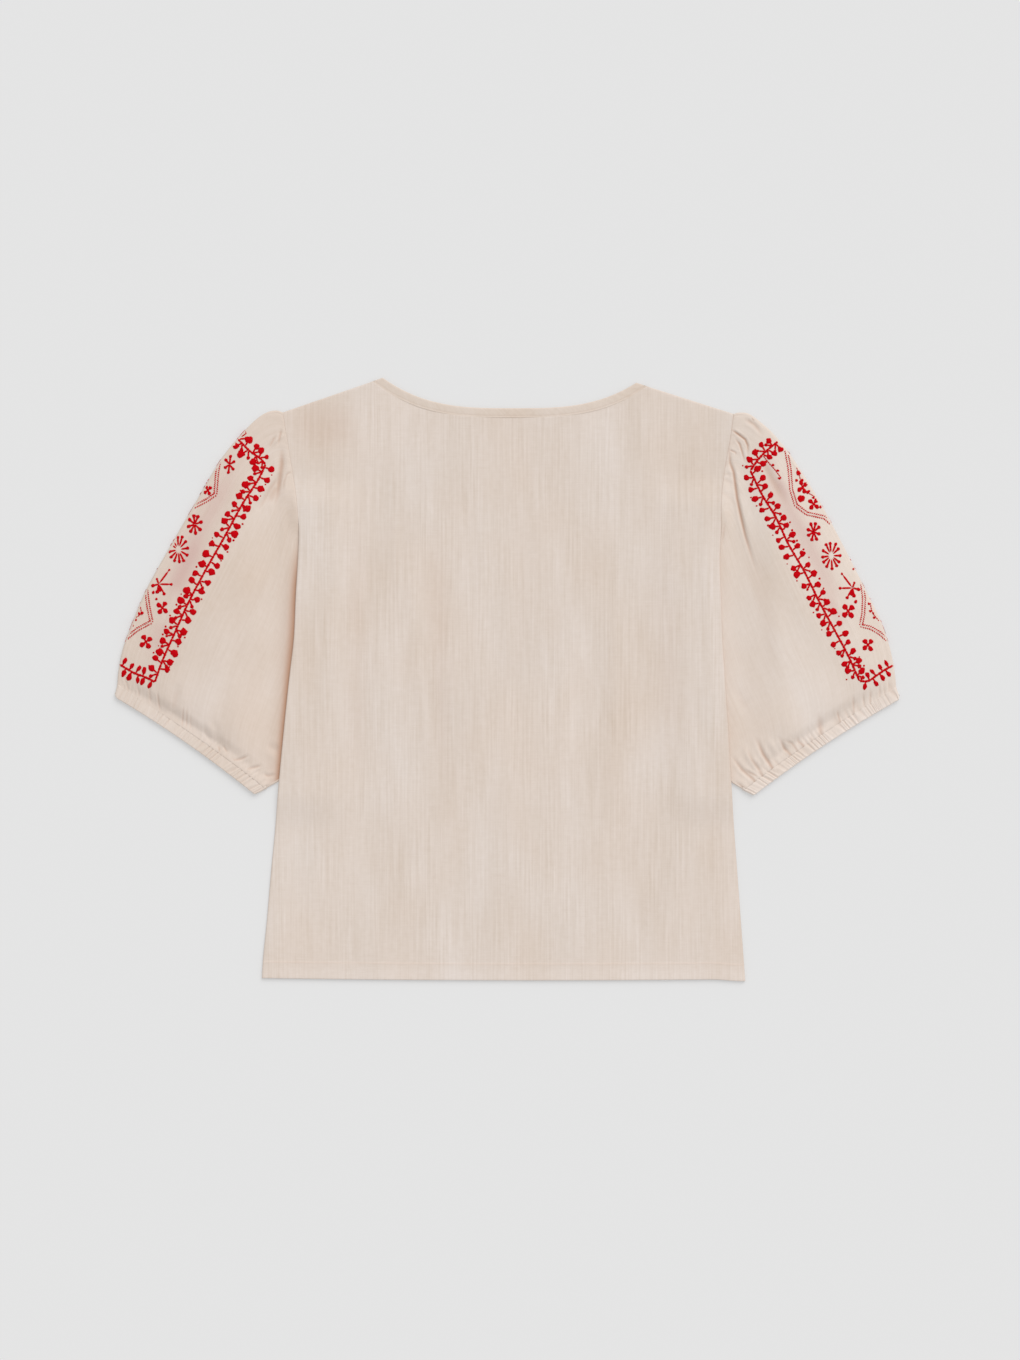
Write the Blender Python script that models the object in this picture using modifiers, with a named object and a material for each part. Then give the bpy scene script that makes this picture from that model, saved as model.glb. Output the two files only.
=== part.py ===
# Short-sleeved embroidered blouse, laid flat with its back up.
# Metres, +Z up. The neck points to +Y, and the surface it lies on is z = 0.
from collections import namedtuple

import bpy
import numpy as np

NAME = "embroidered_blouse"

# Cloth and how its layers lie on each other
WALL = 0.0012  # thickness of one layer of cloth
GAP = 0.0003  # clear space between pieces that are sewn or lie together
HEM_WALL = 0.0020  # the turned hem is two layers
HEM_DEPTH = 0.0170
TUCKED_HEIGHT = 2 * WALL + 2 * GAP  # a sleeve pressed flat under the body
LIFT = TUCKED_HEIGHT + GAP  # how far the body rises over the sleeve under its side

# Neck: a flat curve that turns up to the shoulder seams
NECK_LEFT = (-0.1244, 0.3013)
NECK_RIGHT = (0.1287, 0.2963)
NECK_MIDDLE = 0.0057
BACK_NECK_LOW = 0.2709
BACK_NECK_POWER = 3.1
FRONT_NECK_LOW = 0.2060
FRONT_NECK_POWER = 2.3
BINDING_WIDTH = 0.0095
BINDING_END = 0.0113  # the binding measured along the shoulder seam
MITRE_SHARE = 0.05  # share of the neck over which the binding turns to the shoulder seam
NECK_STEP = 0.001  # share of the neck over which its direction is taken
BACK_BINDING_WALL = 0.0018  # stands a little above the panel; the front one lies under the back

# Hem's lower edge at its two corners and in the middle
HEM_LEFT_Y = -0.2987
HEM_MIDDLE_Y = -0.3013
HEM_RIGHT_Y = -0.2997

# The two side edges of the body, from the shoulder points down to the hem
SideRow = namedtuple("SideRow", "y left_x right_x")
SIDES = (
    SideRow(0.2668, -0.2244, 0.2262),
    SideRow(0.2400, -0.2201, 0.2224),
    SideRow(0.2100, -0.2151, 0.2170),
    SideRow(0.1800, -0.2106, 0.2135),
    SideRow(0.1500, -0.2084, 0.2134),
    SideRow(0.1180, -0.2094, 0.2124),
    SideRow(0.0850, -0.2114, 0.2134),
    SideRow(0.0400, -0.2135, 0.2150),
    SideRow(0.0000, -0.2181, 0.2175),
    SideRow(-0.0600, -0.2243, 0.2214),
    SideRow(-0.1000, -0.2281, 0.2236),
    SideRow(-0.1500, -0.2322, 0.2267),
    SideRow(-0.2000, -0.2369, 0.2304),
    SideRow(-0.2400, -0.2403, 0.2333),
    SideRow(-0.2830, -0.2445, 0.2365),
    SideRow(-0.3010, -0.2455, 0.2378),
)
RIGHT_SHOULDER_Y = 0.2653

# The side of the body lies on the tucked sleeve between these heights
LIFT_TOP = (0.205, 0.170)  # starts, is full
LIFT_BOTTOM = (-0.112, -0.152)  # is full, ends
LIFT_INSIDE = (0.034, 0.082)  # distance from the side edge: still full, ends

# Columns of the panels, as distances from each side edge, and across the neck
EDGE_COLUMNS = (0.0, 0.014, 0.031, 0.050)
NECK_COLUMNS = 13
COLUMNS_SETTLE = 0.4  # share of the height over which the neck's columns spread evenly
HEM_STEP = 0.004  # the hem's extra thickness comes in over this depth

# Sections of a sleeve, from the armhole to the cuff: the two folds of the flattened
# tube, how high it is puffed, and the radius of its outer fold
SleeveRow = namedtuple("SleeveRow", "outer_x outer_y inner_x inner_y crown fold")
LEFT_SLEEVE = (
    SleeveRow(-0.2249, 0.2668, -0.1940, 0.1180, 0.0000, 0.00150),
    SleeveRow(-0.2310, 0.2686, -0.1938, 0.1120, 0.0020, 0.00180),
    SleeveRow(-0.2405, 0.2666, -0.1936, 0.1050, 0.0036, 0.00220),
    SleeveRow(-0.2515, 0.2592, -0.1934, 0.0965, 0.0050, 0.00260),
    SleeveRow(-0.2660, 0.2445, -0.1932, 0.0860, 0.0062, 0.00300),
    SleeveRow(-0.2864, 0.2193, -0.1932, 0.0680, 0.0074, 0.00330),
    SleeveRow(-0.3100, 0.1790, -0.1935, 0.0350, 0.0082, 0.00350),
    SleeveRow(-0.3340, 0.1375, -0.1945, -0.0030, 0.0086, 0.00350),
    SleeveRow(-0.3600, 0.0910, -0.1965, -0.0380, 0.0086, 0.00350),
    SleeveRow(-0.3754, 0.0545, -0.2010, -0.0660, 0.0082, 0.00330),
    SleeveRow(-0.3845, 0.0290, -0.2110, -0.0870, 0.0072, 0.00300),
    SleeveRow(-0.3886, 0.0080, -0.2240, -0.0990, 0.0048, 0.00250),
    SleeveRow(-0.3898, -0.0057, -0.2404, -0.1085, 0.0020, 0.00210),
)
RIGHT_SLEEVE = (
    SleeveRow(0.2267, 0.2652, 0.1960, 0.1180, 0.0000, 0.00150),
    SleeveRow(0.2315, 0.2665, 0.1958, 0.1120, 0.0020, 0.00180),
    SleeveRow(0.2410, 0.2654, 0.1956, 0.1050, 0.0036, 0.00220),
    SleeveRow(0.2520, 0.2577, 0.1954, 0.0965, 0.0050, 0.00260),
    SleeveRow(0.2660, 0.2450, 0.1952, 0.0860, 0.0062, 0.00300),
    SleeveRow(0.2847, 0.2213, 0.1952, 0.0680, 0.0074, 0.00330),
    SleeveRow(0.3105, 0.1800, 0.1954, 0.0350, 0.0082, 0.00350),
    SleeveRow(0.3337, 0.1370, 0.1960, -0.0030, 0.0086, 0.00350),
    SleeveRow(0.3590, 0.0868, 0.1972, -0.0380, 0.0086, 0.00350),
    SleeveRow(0.3734, 0.0573, 0.2010, -0.0670, 0.0082, 0.00330),
    SleeveRow(0.3820, 0.0315, 0.2090, -0.0880, 0.0072, 0.00300),
    SleeveRow(0.3868, 0.0080, 0.2200, -0.1000, 0.0048, 0.00250),
    SleeveRow(0.3886, -0.0080, 0.2347, -0.1099, 0.0020, 0.00210),
)
SLEEVE_ROWS = 16
SLEEVE_TOP_POINTS = 40  # points across the upper layer, closer together at the sleeve head
SLEEVE_UNDER_POINTS = 9
FOLD_POINTS = 5  # points round each fold of the tube
HEAD_CLOSENESS = 1.35  # above 1 crowds the points towards the outer fold
SECTION_CORNER = 0.53  # near the armhole a section turns in under the body at this share
SECTION_BEND_REACH = 0.5  # share of the sleeve over which its sections straighten
SEAM_LEAVES_Y = (0.150, 0.165)  # between these the armhole seam leaves the body's edge
SEAM_REACH = 0.3
PATH_POINTS = 81
CUFF_REACH = 0.15  # share of the sleeve that bends with the cuff
PUFF_STARTS = 0.010  # distance out from the body's side where the puff begins
PUFF_RISE = 0.050
PUFF_EDGE = 0.070  # distance from the outer fold over which the puff rounds off
FOLD_FADES = 0.6  # share of the width over which the outer fold's height dies away

# Gathers of the sleeve heads and creases above the cuffs: a line, half its width and
# its height, which is below zero for a trough
Fold = namedtuple("Fold", "from_x from_y to_x to_y half_width height")
FOLD_TAIL = 0.25  # share of a fold's length over which its end dies away
FOLD_CLEAR = 0.010  # folds die away this near the body's side
LEFT_FOLDS = (
    Fold(-0.2290, 0.2520, -0.2320, 0.2300, 0.0050, 0.0012),
    Fold(-0.2320, 0.2600, -0.2440, 0.2270, 0.0055, 0.0014),
    Fold(-0.2440, 0.2620, -0.2640, 0.2230, 0.0070, 0.0014),
    Fold(-0.2262, 0.2330, -0.2330, 0.1710, 0.0065, -0.0015),
    Fold(-0.2300, 0.2080, -0.2520, 0.1600, 0.0070, 0.0016),
    Fold(-0.2200, 0.2090, -0.2260, 0.1800, 0.0050, 0.0009),
    Fold(-0.3760, -0.0010, -0.3690, 0.0170, 0.0055, 0.0011),
    Fold(-0.3580, -0.0210, -0.3490, -0.0020, 0.0055, 0.0013),
    Fold(-0.3430, -0.0330, -0.3370, -0.0130, 0.0060, -0.0010),
    Fold(-0.3300, -0.0440, -0.3240, -0.0180, 0.0060, 0.0014),
    Fold(-0.3120, -0.0570, -0.3060, -0.0320, 0.0060, 0.0012),
    Fold(-0.2930, -0.0700, -0.2850, -0.0440, 0.0060, -0.0010),
    Fold(-0.2770, -0.0810, -0.2660, -0.0560, 0.0060, 0.0013),
    Fold(-0.2620, -0.0920, -0.2500, -0.0740, 0.0055, 0.0010),
)
RIGHT_FOLDS = (
    Fold(0.2250, 0.2500, 0.2410, 0.2330, 0.0050, 0.0014),
    Fold(0.2400, 0.2350, 0.2415, 0.2180, 0.0050, 0.0013),
    Fold(0.2290, 0.2390, 0.2380, 0.2130, 0.0050, -0.0011),
    Fold(0.2420, 0.2620, 0.2590, 0.2400, 0.0060, 0.0014),
    Fold(0.2250, 0.2260, 0.2310, 0.1800, 0.0060, 0.0016),
    Fold(0.2310, 0.1820, 0.2530, 0.1010, 0.0080, 0.0013),
    Fold(0.3640, 0.0020, 0.3600, -0.0160, 0.0055, 0.0011),
    Fold(0.3440, -0.0150, 0.3480, -0.0300, 0.0055, 0.0011),
    Fold(0.3280, -0.0330, 0.3370, -0.0480, 0.0055, 0.0013),
    Fold(0.3120, -0.0440, 0.3180, -0.0580, 0.0055, -0.0010),
    Fold(0.2870, -0.0560, 0.2980, -0.0780, 0.0060, 0.0015),
    Fold(0.2700, -0.0540, 0.2890, -0.0800, 0.0060, 0.0014),
    Fold(0.2480, -0.0600, 0.2590, -0.0880, 0.0060, 0.0012),
    Fold(0.2270, -0.0800, 0.2450, -0.0990, 0.0055, 0.0010),
)

# Elastic cuffs: the two ends of the casing's upper line and of its lower edge
CuffRow = namedtuple("CuffRow", "outer_x outer_y inner_x inner_y")
LEFT_CUFF = (
    CuffRow(-0.3899, -0.0062, -0.2407, -0.1089),
    CuffRow(-0.3927, -0.0175, -0.2510, -0.1164),
)
RIGHT_CUFF = (
    CuffRow(0.3887, -0.0085, 0.2350, -0.1103),
    CuffRow(0.3927, -0.0197, 0.2447, -0.1173),
)
CUFF_BOW = 0.0033  # how far the middle of the edge is drawn up
CUFF_HEIGHT = 0.0044
CUFF_GATHERS = 26  # on the side that shows
CUFF_GATHER_HEIGHT = 0.0005
POINTS_PER_GATHER = 4
CUFF_ROWS = 3

# Colours, linear red, green and blue
CLOTH = (0.716, 0.623, 0.546)
CLOTH_SLEEVE = (0.730, 0.637, 0.560)
BINDING = (0.700, 0.600, 0.520)


def smooth(share):
    """0 to 1 with level ends."""
    share = np.clip(share, 0.0, 1.0)
    return share * share * (3.0 - 2.0 * share)


def through(at, places, values):
    """A cubic curve through a table's values, with a neighbour-to-neighbour slope at each place."""
    places = np.asarray(places, float)
    values = np.asarray(values, float)
    slopes = np.gradient(values, places)
    at = np.clip(at, places[0], places[-1])
    index = np.clip(np.searchsorted(places, at, side="right") - 1, 0, len(places) - 2)
    step = places[index + 1] - places[index]
    part = (at - places[index]) / step
    start = values[index] * (1 + 2 * part) * (1 - part) ** 2
    end = values[index + 1] * (3 - 2 * part) * part**2
    leaving = slopes[index] * step * part * (1 - part) ** 2
    arriving = slopes[index + 1] * step * part**2 * (part - 1)
    return start + end + leaving + arriving


def side_x(y, side):
    """X of the body's side edge at a height; side is -1 for the left and 1 for the right."""
    column = "left_x" if side < 0 else "right_x"
    rows = sorted(SIDES, key=lambda row: row.y)
    return np.interp(y, [row.y for row in rows], [getattr(row, column) for row in rows])


def lift(x, y):
    """How far the body is raised by the sleeve that is tucked under its side."""
    inside = np.minimum(x - side_x(y, -1), side_x(y, 1) - x)
    near = 1 - smooth((inside - LIFT_INSIDE[0]) / (LIFT_INSIDE[1] - LIFT_INSIDE[0]))
    below_top = smooth((LIFT_TOP[0] - y) / (LIFT_TOP[0] - LIFT_TOP[1]))
    above_end = smooth((y - LIFT_BOTTOM[1]) / (LIFT_BOTTOM[0] - LIFT_BOTTOM[1]))
    return LIFT * near * below_top * above_end


def hem_y(x):
    """Y of the hem's lower edge, a shallow bow through its corners and its middle."""
    left, right = SIDES[-1].left_x, SIDES[-1].right_x
    share = (x - left) / (right - left)
    straight = HEM_LEFT_Y + (HEM_RIGHT_Y - HEM_LEFT_Y) * share
    sag = HEM_MIDDLE_Y - (HEM_LEFT_Y + HEM_RIGHT_Y) / 2
    return straight + sag * 4 * share * (1 - share)


def neck_edge(share, low, power):
    """Points along the neck's edge, from the left corner to the right one."""
    x = NECK_LEFT[0] + (NECK_RIGHT[0] - NECK_LEFT[0]) * share
    half = np.where(x < NECK_MIDDLE, NECK_MIDDLE - NECK_LEFT[0], NECK_RIGHT[0] - NECK_MIDDLE)
    corner_y = np.where(x < NECK_MIDDLE, NECK_LEFT[1], NECK_RIGHT[1])
    y = low + (corner_y - low) * (np.abs(x - NECK_MIDDLE) / half) ** power
    return np.stack([x, y], axis=-1)


def shoulder_direction(side):
    """Unit vector along a shoulder seam, from the neck corner outwards."""
    corner = np.array(NECK_LEFT if side < 0 else NECK_RIGHT)
    tip_y = SIDES[0].y if side < 0 else RIGHT_SHOULDER_Y
    tip = np.array([side_x(SIDES[0].y, side), tip_y])
    return (tip - corner) / np.linalg.norm(tip - corner)


def neck_sections(share, low, power, reach):
    """Neck edge points, and the points reach times the binding's width below them."""
    edge = neck_edge(share, low, power)
    ahead = neck_edge(share + NECK_STEP, low, power) - neck_edge(
        share - NECK_STEP, low, power
    )
    inward = np.stack([ahead[:, 1], -ahead[:, 0]], axis=-1)
    inward *= BINDING_WIDTH / np.linalg.norm(inward, axis=1, keepdims=True)
    for side in (-1, 1):
        distance = share if side < 0 else 1 - share
        along_seam = shoulder_direction(side) * BINDING_END
        part = (1 - smooth(distance / MITRE_SHARE))[:, None]
        inward = inward * (1 - part) + along_seam * part
    return edge, edge + inward * reach


def new_material(name, colour, roughness):
    material = bpy.data.materials.new(name)
    material.use_nodes = True
    shader = material.node_tree.nodes["Principled BSDF"]
    shader.inputs["Base Color"].default_value = (*colour, 1.0)
    shader.inputs["Roughness"].default_value = roughness
    shader.inputs["Metallic"].default_value = 0.0
    return material


def new_surface(name, grid, closed, turned, material, collection):
    """An open surface from a grid of points, rows by columns, whose columns may close to a ring."""
    rows, columns = grid.shape[:2]
    index = np.arange(rows * columns).reshape(rows, columns)
    after = np.roll(index, -1, axis=1)
    if not closed:
        index, after = index[:, :-1], after[:, :-1]
    faces = np.stack([index[:-1], index[1:], after[1:], after[:-1]], axis=-1).reshape(-1, 4)
    if turned:
        faces = faces[:, ::-1]
    mesh = bpy.data.meshes.new(name)
    mesh.from_pydata(grid.reshape(-1, 3).tolist(), [], faces.tolist())
    mesh.materials.append(material)
    mesh.shade_smooth()
    obj = bpy.data.objects.new(name, mesh)
    collection.objects.link(obj)
    return obj


def give_wall(obj, thickness, outwards):
    """Turns an open surface into a closed wall, on its outer or its inner side."""
    wall = obj.modifiers.new("wall", "SOLIDIFY")
    wall.thickness = thickness
    wall.offset = 1.0 if outwards else -1.0
    wall.use_even_offset = True
    wall.use_rim = True
    return wall


def panel_grid(low, power, base):
    """The underside of the front or back: columns keep their distance from the nearer side."""
    neck_share = np.linspace(0, 1, NECK_COLUMNS)
    neck_top = neck_sections(neck_share, low, power, 1 + GAP / BINDING_WIDTH)[1]
    left_width = neck_top[0, 0] - SIDES[0].left_x
    right_width = SIDES[0].right_x - neck_top[-1, 0]
    height = SIDES[0].y - HEM_LEFT_Y
    body = [(SIDES[0].y - row.y) / height for row in SIDES[:-2]]
    hem = [1 - HEM_DEPTH / height, 1 - (HEM_DEPTH - HEM_STEP) / height, 1.0]
    rows = np.array(body + hem)[:, None]

    def side_columns(side, width):
        """Columns between a side edge and the neck's corner."""
        distance = np.array(EDGE_COLUMNS + ((EDGE_COLUMNS[-1] + width) / 2,))
        corner = np.array(NECK_LEFT if side < 0 else NECK_RIGHT)
        tip_y = SIDES[0].y if side < 0 else RIGHT_SHOULDER_Y
        slope = (corner[1] - tip_y) / abs(corner[0] - side_x(SIDES[0].y, side))
        top = tip_y + slope * distance
        bottom = hem_y(side_x(SIDES[-1].y, side) - side * distance)
        y = top + (bottom - top) * rows
        return side_x(y, side) - side * distance, y

    left_x, left_y = side_columns(-1, left_width)
    right_x, right_y = side_columns(1, right_width)
    bottom_x = np.linspace(
        SIDES[-1].left_x + left_width, SIDES[-1].right_x - right_width, NECK_COLUMNS
    )
    middle_y = neck_top[:, 1] + (hem_y(bottom_x) - neck_top[:, 1]) * rows
    start_x = side_x(middle_y, -1) + left_width
    end_x = side_x(middle_y, 1) - right_width
    level_x = start_x + (end_x - start_x) * neck_share
    settle = smooth(rows / COLUMNS_SETTLE)
    middle_x = neck_top[:, 0] * (1 - settle) + level_x * settle
    x = np.hstack([left_x, middle_x, right_x[:, ::-1]])
    y = np.hstack([left_y, middle_y, right_y[:, ::-1]])
    return np.stack([x, y, base(x, y)], axis=-1)


def make_panel(name, low, power, base, material, collection):
    """Front or back panel, thicker where its hem is turned up."""
    grid = panel_grid(low, power, base)
    obj = new_surface(name, grid, False, False, material, collection)
    rows, columns = grid.shape[:2]
    hem = obj.vertex_groups.new(name="hem")
    hem.add(list(range((rows - 2) * columns, rows * columns)), 1.0, "REPLACE")
    wall = give_wall(obj, HEM_WALL, True)
    wall.vertex_group = hem.name
    wall.thickness_vertex_group = WALL / HEM_WALL
    return obj


def front_base(x, y):
    """Height of the front's underside."""
    return lift(x, y)


def back_base(x, y):
    """Height of the back's underside: it lies on the front, and on its hem."""
    in_hem = smooth((hem_y(x) + HEM_DEPTH - y) / HEM_STEP)
    return lift(x, y) + WALL + GAP + (HEM_WALL - WALL) * in_hem


def make_binding(name, low, power, base, thickness, material, collection):
    """Bias strip along the neck's edge, which meets its panel edge to edge."""
    share = np.linspace(0, 1, NECK_COLUMNS)
    edge, inner = neck_sections(share, low, power, 1.0)
    across = np.linspace(0, 1, 3)[:, None, None]
    plan = edge + (inner - edge) * across
    height = np.full(plan.shape[:2] + (1,), base)
    grid = np.concatenate([plan, height], axis=-1)
    obj = new_surface(name, grid, False, False, material, collection)
    give_wall(obj, thickness, True)
    return obj


def fold_height(x, y, folds):
    """Sum of the ridges and troughs at a point of the plan."""
    total = np.zeros_like(x)
    for fold in folds:
        run = np.array([fold.to_x - fold.from_x, fold.to_y - fold.from_y])
        share = ((x - fold.from_x) * run[0] + (y - fold.from_y) * run[1]) / (run @ run)
        near = np.clip(share, 0, 1)
        off = np.hypot(x - fold.from_x - near * run[0], y - fold.from_y - near * run[1])
        tail = smooth((1 - near) / FOLD_TAIL)
        total += fold.height * (1 - smooth(off / fold.half_width)) * tail
    return total


def section_paths(outer, inner, bend):
    """Curves in the plan from the outer fold to the inner one, bent towards a corner, and their lengths."""
    middle = (outer + inner) / 2
    corner = np.stack([outer[:, 0] + SECTION_CORNER * (inner - outer)[:, 0], inner[:, 1]], axis=-1)
    control = middle + (corner - middle) * bend[:, None]
    part = np.linspace(0, 1, PATH_POINTS)[None, :, None]
    start, turn, end = outer[:, None, :], control[:, None, :], inner[:, None, :]
    paths = start * (1 - part) ** 2 + turn * 2 * part * (1 - part) + end * part**2
    steps = np.linalg.norm(np.diff(paths, axis=1), axis=2)
    travelled = np.hstack([np.zeros((len(outer), 1)), np.cumsum(steps, axis=1)])
    return paths, travelled


def along_paths(paths, travelled, distance):
    """Points of the plan at given distances along each section's path."""
    plan = np.empty(distance.shape + (2,))
    for row, (path, reached, wanted) in enumerate(zip(paths, travelled, distance)):
        plan[row, :, 0] = np.interp(wanted, reached, path[:, 0])
        plan[row, :, 1] = np.interp(wanted, reached, path[:, 1])
    return plan


def tube_section(length, fold, inner_fold, top_share):
    """Distance along the plan and rounding height round one flattened ring.

    Arrays have one row for each ring. The ring starts under its outer fold, goes over it,
    across the top, round the inner fold and back along the flat underside.
    """
    turn = np.linspace(-np.pi / 2, np.pi / 2, FOLD_POINTS)
    over_outer = fold * (1 - np.cos(turn)), fold * (1 + np.sin(turn))
    back = turn[::-1]
    over_inner = length - inner_fold * (1 - np.cos(back)), inner_fold * (1 + np.sin(back))
    top = fold + (length - fold - inner_fold) * top_share
    top_height = 2 * inner_fold + 2 * (fold - inner_fold) * (1 - smooth(top_share / FOLD_FADES))
    under_share = np.linspace(1, 0, SLEEVE_UNDER_POINTS + 2)[1:-1]
    under = fold + (length - fold - inner_fold) * under_share
    distance = np.hstack([over_outer[0], top, over_inner[0], under])
    height = np.hstack([over_outer[1], top_height, over_inner[1], np.zeros_like(under)])
    return distance, height


def cuff_bow(direction, share, side):
    """How the cuff's middle is drawn up towards the shoulder, across its own direction."""
    upwards = np.stack([-direction[:, :, 1], direction[:, :, 0]], axis=-1) * -side
    return upwards * (CUFF_BOW * 4 * share * (1 - share))[:, :, None]


def make_sleeve(name, table, folds, side, material, collection):
    """Puffed sleeve: a flattened tube from the armhole to the elastic cuff."""
    places = np.linspace(0, 1, len(table))
    ends = (1 - np.cos(np.pi * np.linspace(0, 1, SLEEVE_ROWS))) / 2
    at = (ends + np.linspace(0, 1, SLEEVE_ROWS)) / 2
    rows = SleeveRow(*[through(at, places, column) for column in zip(*table)])
    outer = np.stack([rows.outer_x, rows.outer_y], axis=-1)
    inner = np.stack([rows.inner_x, rows.inner_y], axis=-1)
    top_share = np.linspace(0, 1, SLEEVE_TOP_POINTS + 2)[1:-1] ** HEAD_CLOSENESS
    fold = rows.fold[:, None]
    inner_fold = np.full_like(fold, TUCKED_HEIGHT / 2)
    paths, travelled = section_paths(outer, inner, 1 - smooth(at / SECTION_BEND_REACH))
    length = travelled[:, -1:]
    distance, height = tube_section(length, fold, inner_fold, top_share)
    plan = along_paths(paths, travelled, distance)
    # The seam end follows the body's edge, then runs under it
    seam_y = plan[0, :, 1]
    on_edge = smooth((seam_y - SEAM_LEAVES_Y[0]) / (SEAM_LEAVES_Y[1] - SEAM_LEAVES_Y[0]))
    to_seam = (side_x(seam_y, side) + side * GAP - plan[0, :, 0]) * on_edge
    plan[:, :, 0] += to_seam * np.clip(1 - at[:, None] / SEAM_REACH, 0, 1) ** 2
    # The last section is drawn up as the cuff is
    direction = ((inner - outer) / np.linalg.norm(inner - outer, axis=1)[:, None])[:, None, :]
    drawn_up = smooth((at[:, None] - 1) / CUFF_REACH + 1)
    plan += cuff_bow(direction, distance / length, side) * drawn_up[:, :, None]
    x, y = plan[:, :, 0], plan[:, :, 1]
    # The puff keeps clear of the body's side and rounds off at the outer fold
    from_body = side * (x - side_x(y, side))
    away = smooth((from_body - PUFF_STARTS) / PUFF_RISE)
    rounding = 1 - (1 - np.clip((distance - fold) / PUFF_EDGE, 0, 1)) ** 2
    on_top = np.zeros(distance.shape[1])
    on_top[FOLD_POINTS : FOLD_POINTS + SLEEVE_TOP_POINTS] = 1.0
    clear = smooth((from_body - GAP) / FOLD_CLEAR) * smooth((distance - fold) / WALL)
    puff = rows.crown[:, None] * away * rounding + fold_height(x, y, folds) * clear
    grid = np.stack([x, y, height + puff * on_top], axis=-1)
    obj = new_surface(name, grid, True, side > 0, material, collection)
    give_wall(obj, WALL, False)
    return obj


def make_cuff(name, table, side, material, collection):
    """Elastic casing at the sleeve's end, gathered on the side that shows."""
    at = np.linspace(0, 1, CUFF_ROWS)[:, None]
    start, end = np.array(table[0]), np.array(table[1])
    outer = start[:2] + (end[:2] - start[:2]) * at
    inner = start[2:] + (end[2:] - start[2:]) * at
    count = CUFF_GATHERS * POINTS_PER_GATHER
    top_share = (np.arange(count) + 0.5) / count
    radius = np.full((CUFF_ROWS, 1), CUFF_HEIGHT / 2)
    length = np.linalg.norm(inner - outer, axis=1)[:, None]
    distance, height = tube_section(length, radius, radius, top_share)
    direction = (inner - outer)[:, None, :] / length[:, :, None]
    share = distance / length
    plan = outer[:, None, :] + direction * distance[:, :, None]
    plan += cuff_bow(direction, share, side)
    on_top = np.zeros(distance.shape[1])
    on_top[FOLD_POINTS : FOLD_POINTS + count] = 1.0
    wave = CUFF_GATHER_HEIGHT * np.cos(2 * np.pi * CUFF_GATHERS * share) * on_top
    grid = np.concatenate([plan, (height + wave)[:, :, None]], axis=-1)
    obj = new_surface(name, grid, True, side > 0, material, collection)
    give_wall(obj, WALL, False)
    return obj


def main():
    for old in list(bpy.data.objects):
        bpy.data.objects.remove(old, do_unlink=True)
    blouse = bpy.data.collections.new(NAME)
    bpy.context.scene.collection.children.link(blouse)
    cloth = new_material("ecru_cloth", CLOTH, 0.85)
    sleeve_cloth = new_material("ecru_sleeve_cloth", CLOTH_SLEEVE, 0.85)
    bias_strip = new_material("bias_strip", BINDING, 0.85)

    make_panel("front_panel", FRONT_NECK_LOW, FRONT_NECK_POWER, front_base, cloth, blouse)
    make_panel("back_panel", BACK_NECK_LOW, BACK_NECK_POWER, back_base, cloth, blouse)
    make_binding(
        "neck_binding_front", FRONT_NECK_LOW, FRONT_NECK_POWER, 0.0, WALL, bias_strip, blouse
    )
    make_binding(
        "neck_binding_back",
        BACK_NECK_LOW,
        BACK_NECK_POWER,
        WALL + GAP,
        BACK_BINDING_WALL,
        bias_strip,
        blouse,
    )
    make_sleeve("sleeve_left", LEFT_SLEEVE, LEFT_FOLDS, -1, sleeve_cloth, blouse)
    make_sleeve("sleeve_right", RIGHT_SLEEVE, RIGHT_FOLDS, 1, sleeve_cloth, blouse)
    make_cuff("cuff_left", LEFT_CUFF, -1, sleeve_cloth, blouse)
    make_cuff("cuff_right", RIGHT_CUFF, 1, sleeve_cloth, blouse)


main()
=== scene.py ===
import bpy
import numpy as np
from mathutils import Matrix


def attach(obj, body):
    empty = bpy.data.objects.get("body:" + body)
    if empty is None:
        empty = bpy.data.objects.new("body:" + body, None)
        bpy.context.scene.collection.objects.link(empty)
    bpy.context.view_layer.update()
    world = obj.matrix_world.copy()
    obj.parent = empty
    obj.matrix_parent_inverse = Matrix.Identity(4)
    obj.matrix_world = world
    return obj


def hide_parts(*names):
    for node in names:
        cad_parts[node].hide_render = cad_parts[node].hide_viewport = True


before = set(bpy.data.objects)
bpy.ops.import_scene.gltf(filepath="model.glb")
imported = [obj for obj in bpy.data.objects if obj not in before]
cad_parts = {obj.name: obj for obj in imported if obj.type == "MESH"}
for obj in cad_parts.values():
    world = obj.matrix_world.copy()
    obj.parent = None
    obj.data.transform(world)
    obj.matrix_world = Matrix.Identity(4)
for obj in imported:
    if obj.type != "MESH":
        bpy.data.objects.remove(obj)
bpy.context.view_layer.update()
print("frame loaded")

# Lengths are in metres, and in millimetres where a name ends in Mm. The neck points to +Y,
# the blouse's back is up and the table is z = 0.


# Shapes

def ease(share):
    # 3 s^2 - 2 s^3, from 0 to 1 with level ends
    share = np.clip(share, 0.0, 1.0)
    return share * share * (3.0 - 2.0 * share)


def through(at, places, values):
    # A cubic through a table, whose slope at each place is that between its neighbours
    places, values = np.asarray(places, float), np.asarray(values, float)
    slopes = np.gradient(values, places)
    at = np.clip(at, places[0], places[-1])
    index = np.clip(np.searchsorted(places, at, side="right") - 1, 0, len(places) - 2)
    step = places[index + 1] - places[index]
    part = (at - places[index]) / step
    start = values[index] * (1 + 2 * part) * (1 - part) ** 2
    end = values[index + 1] * (3 - 2 * part) * part**2
    leaving = slopes[index] * step * part * (1 - part) ** 2
    arriving = slopes[index + 1] * step * part**2 * (part - 1)
    return start + end + leaving + arriving


def distances(path):
    # How far along a path each of its points lies
    return np.concatenate([[0], np.cumsum(np.linalg.norm(np.diff(path, axis=0), axis=1))])


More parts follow.
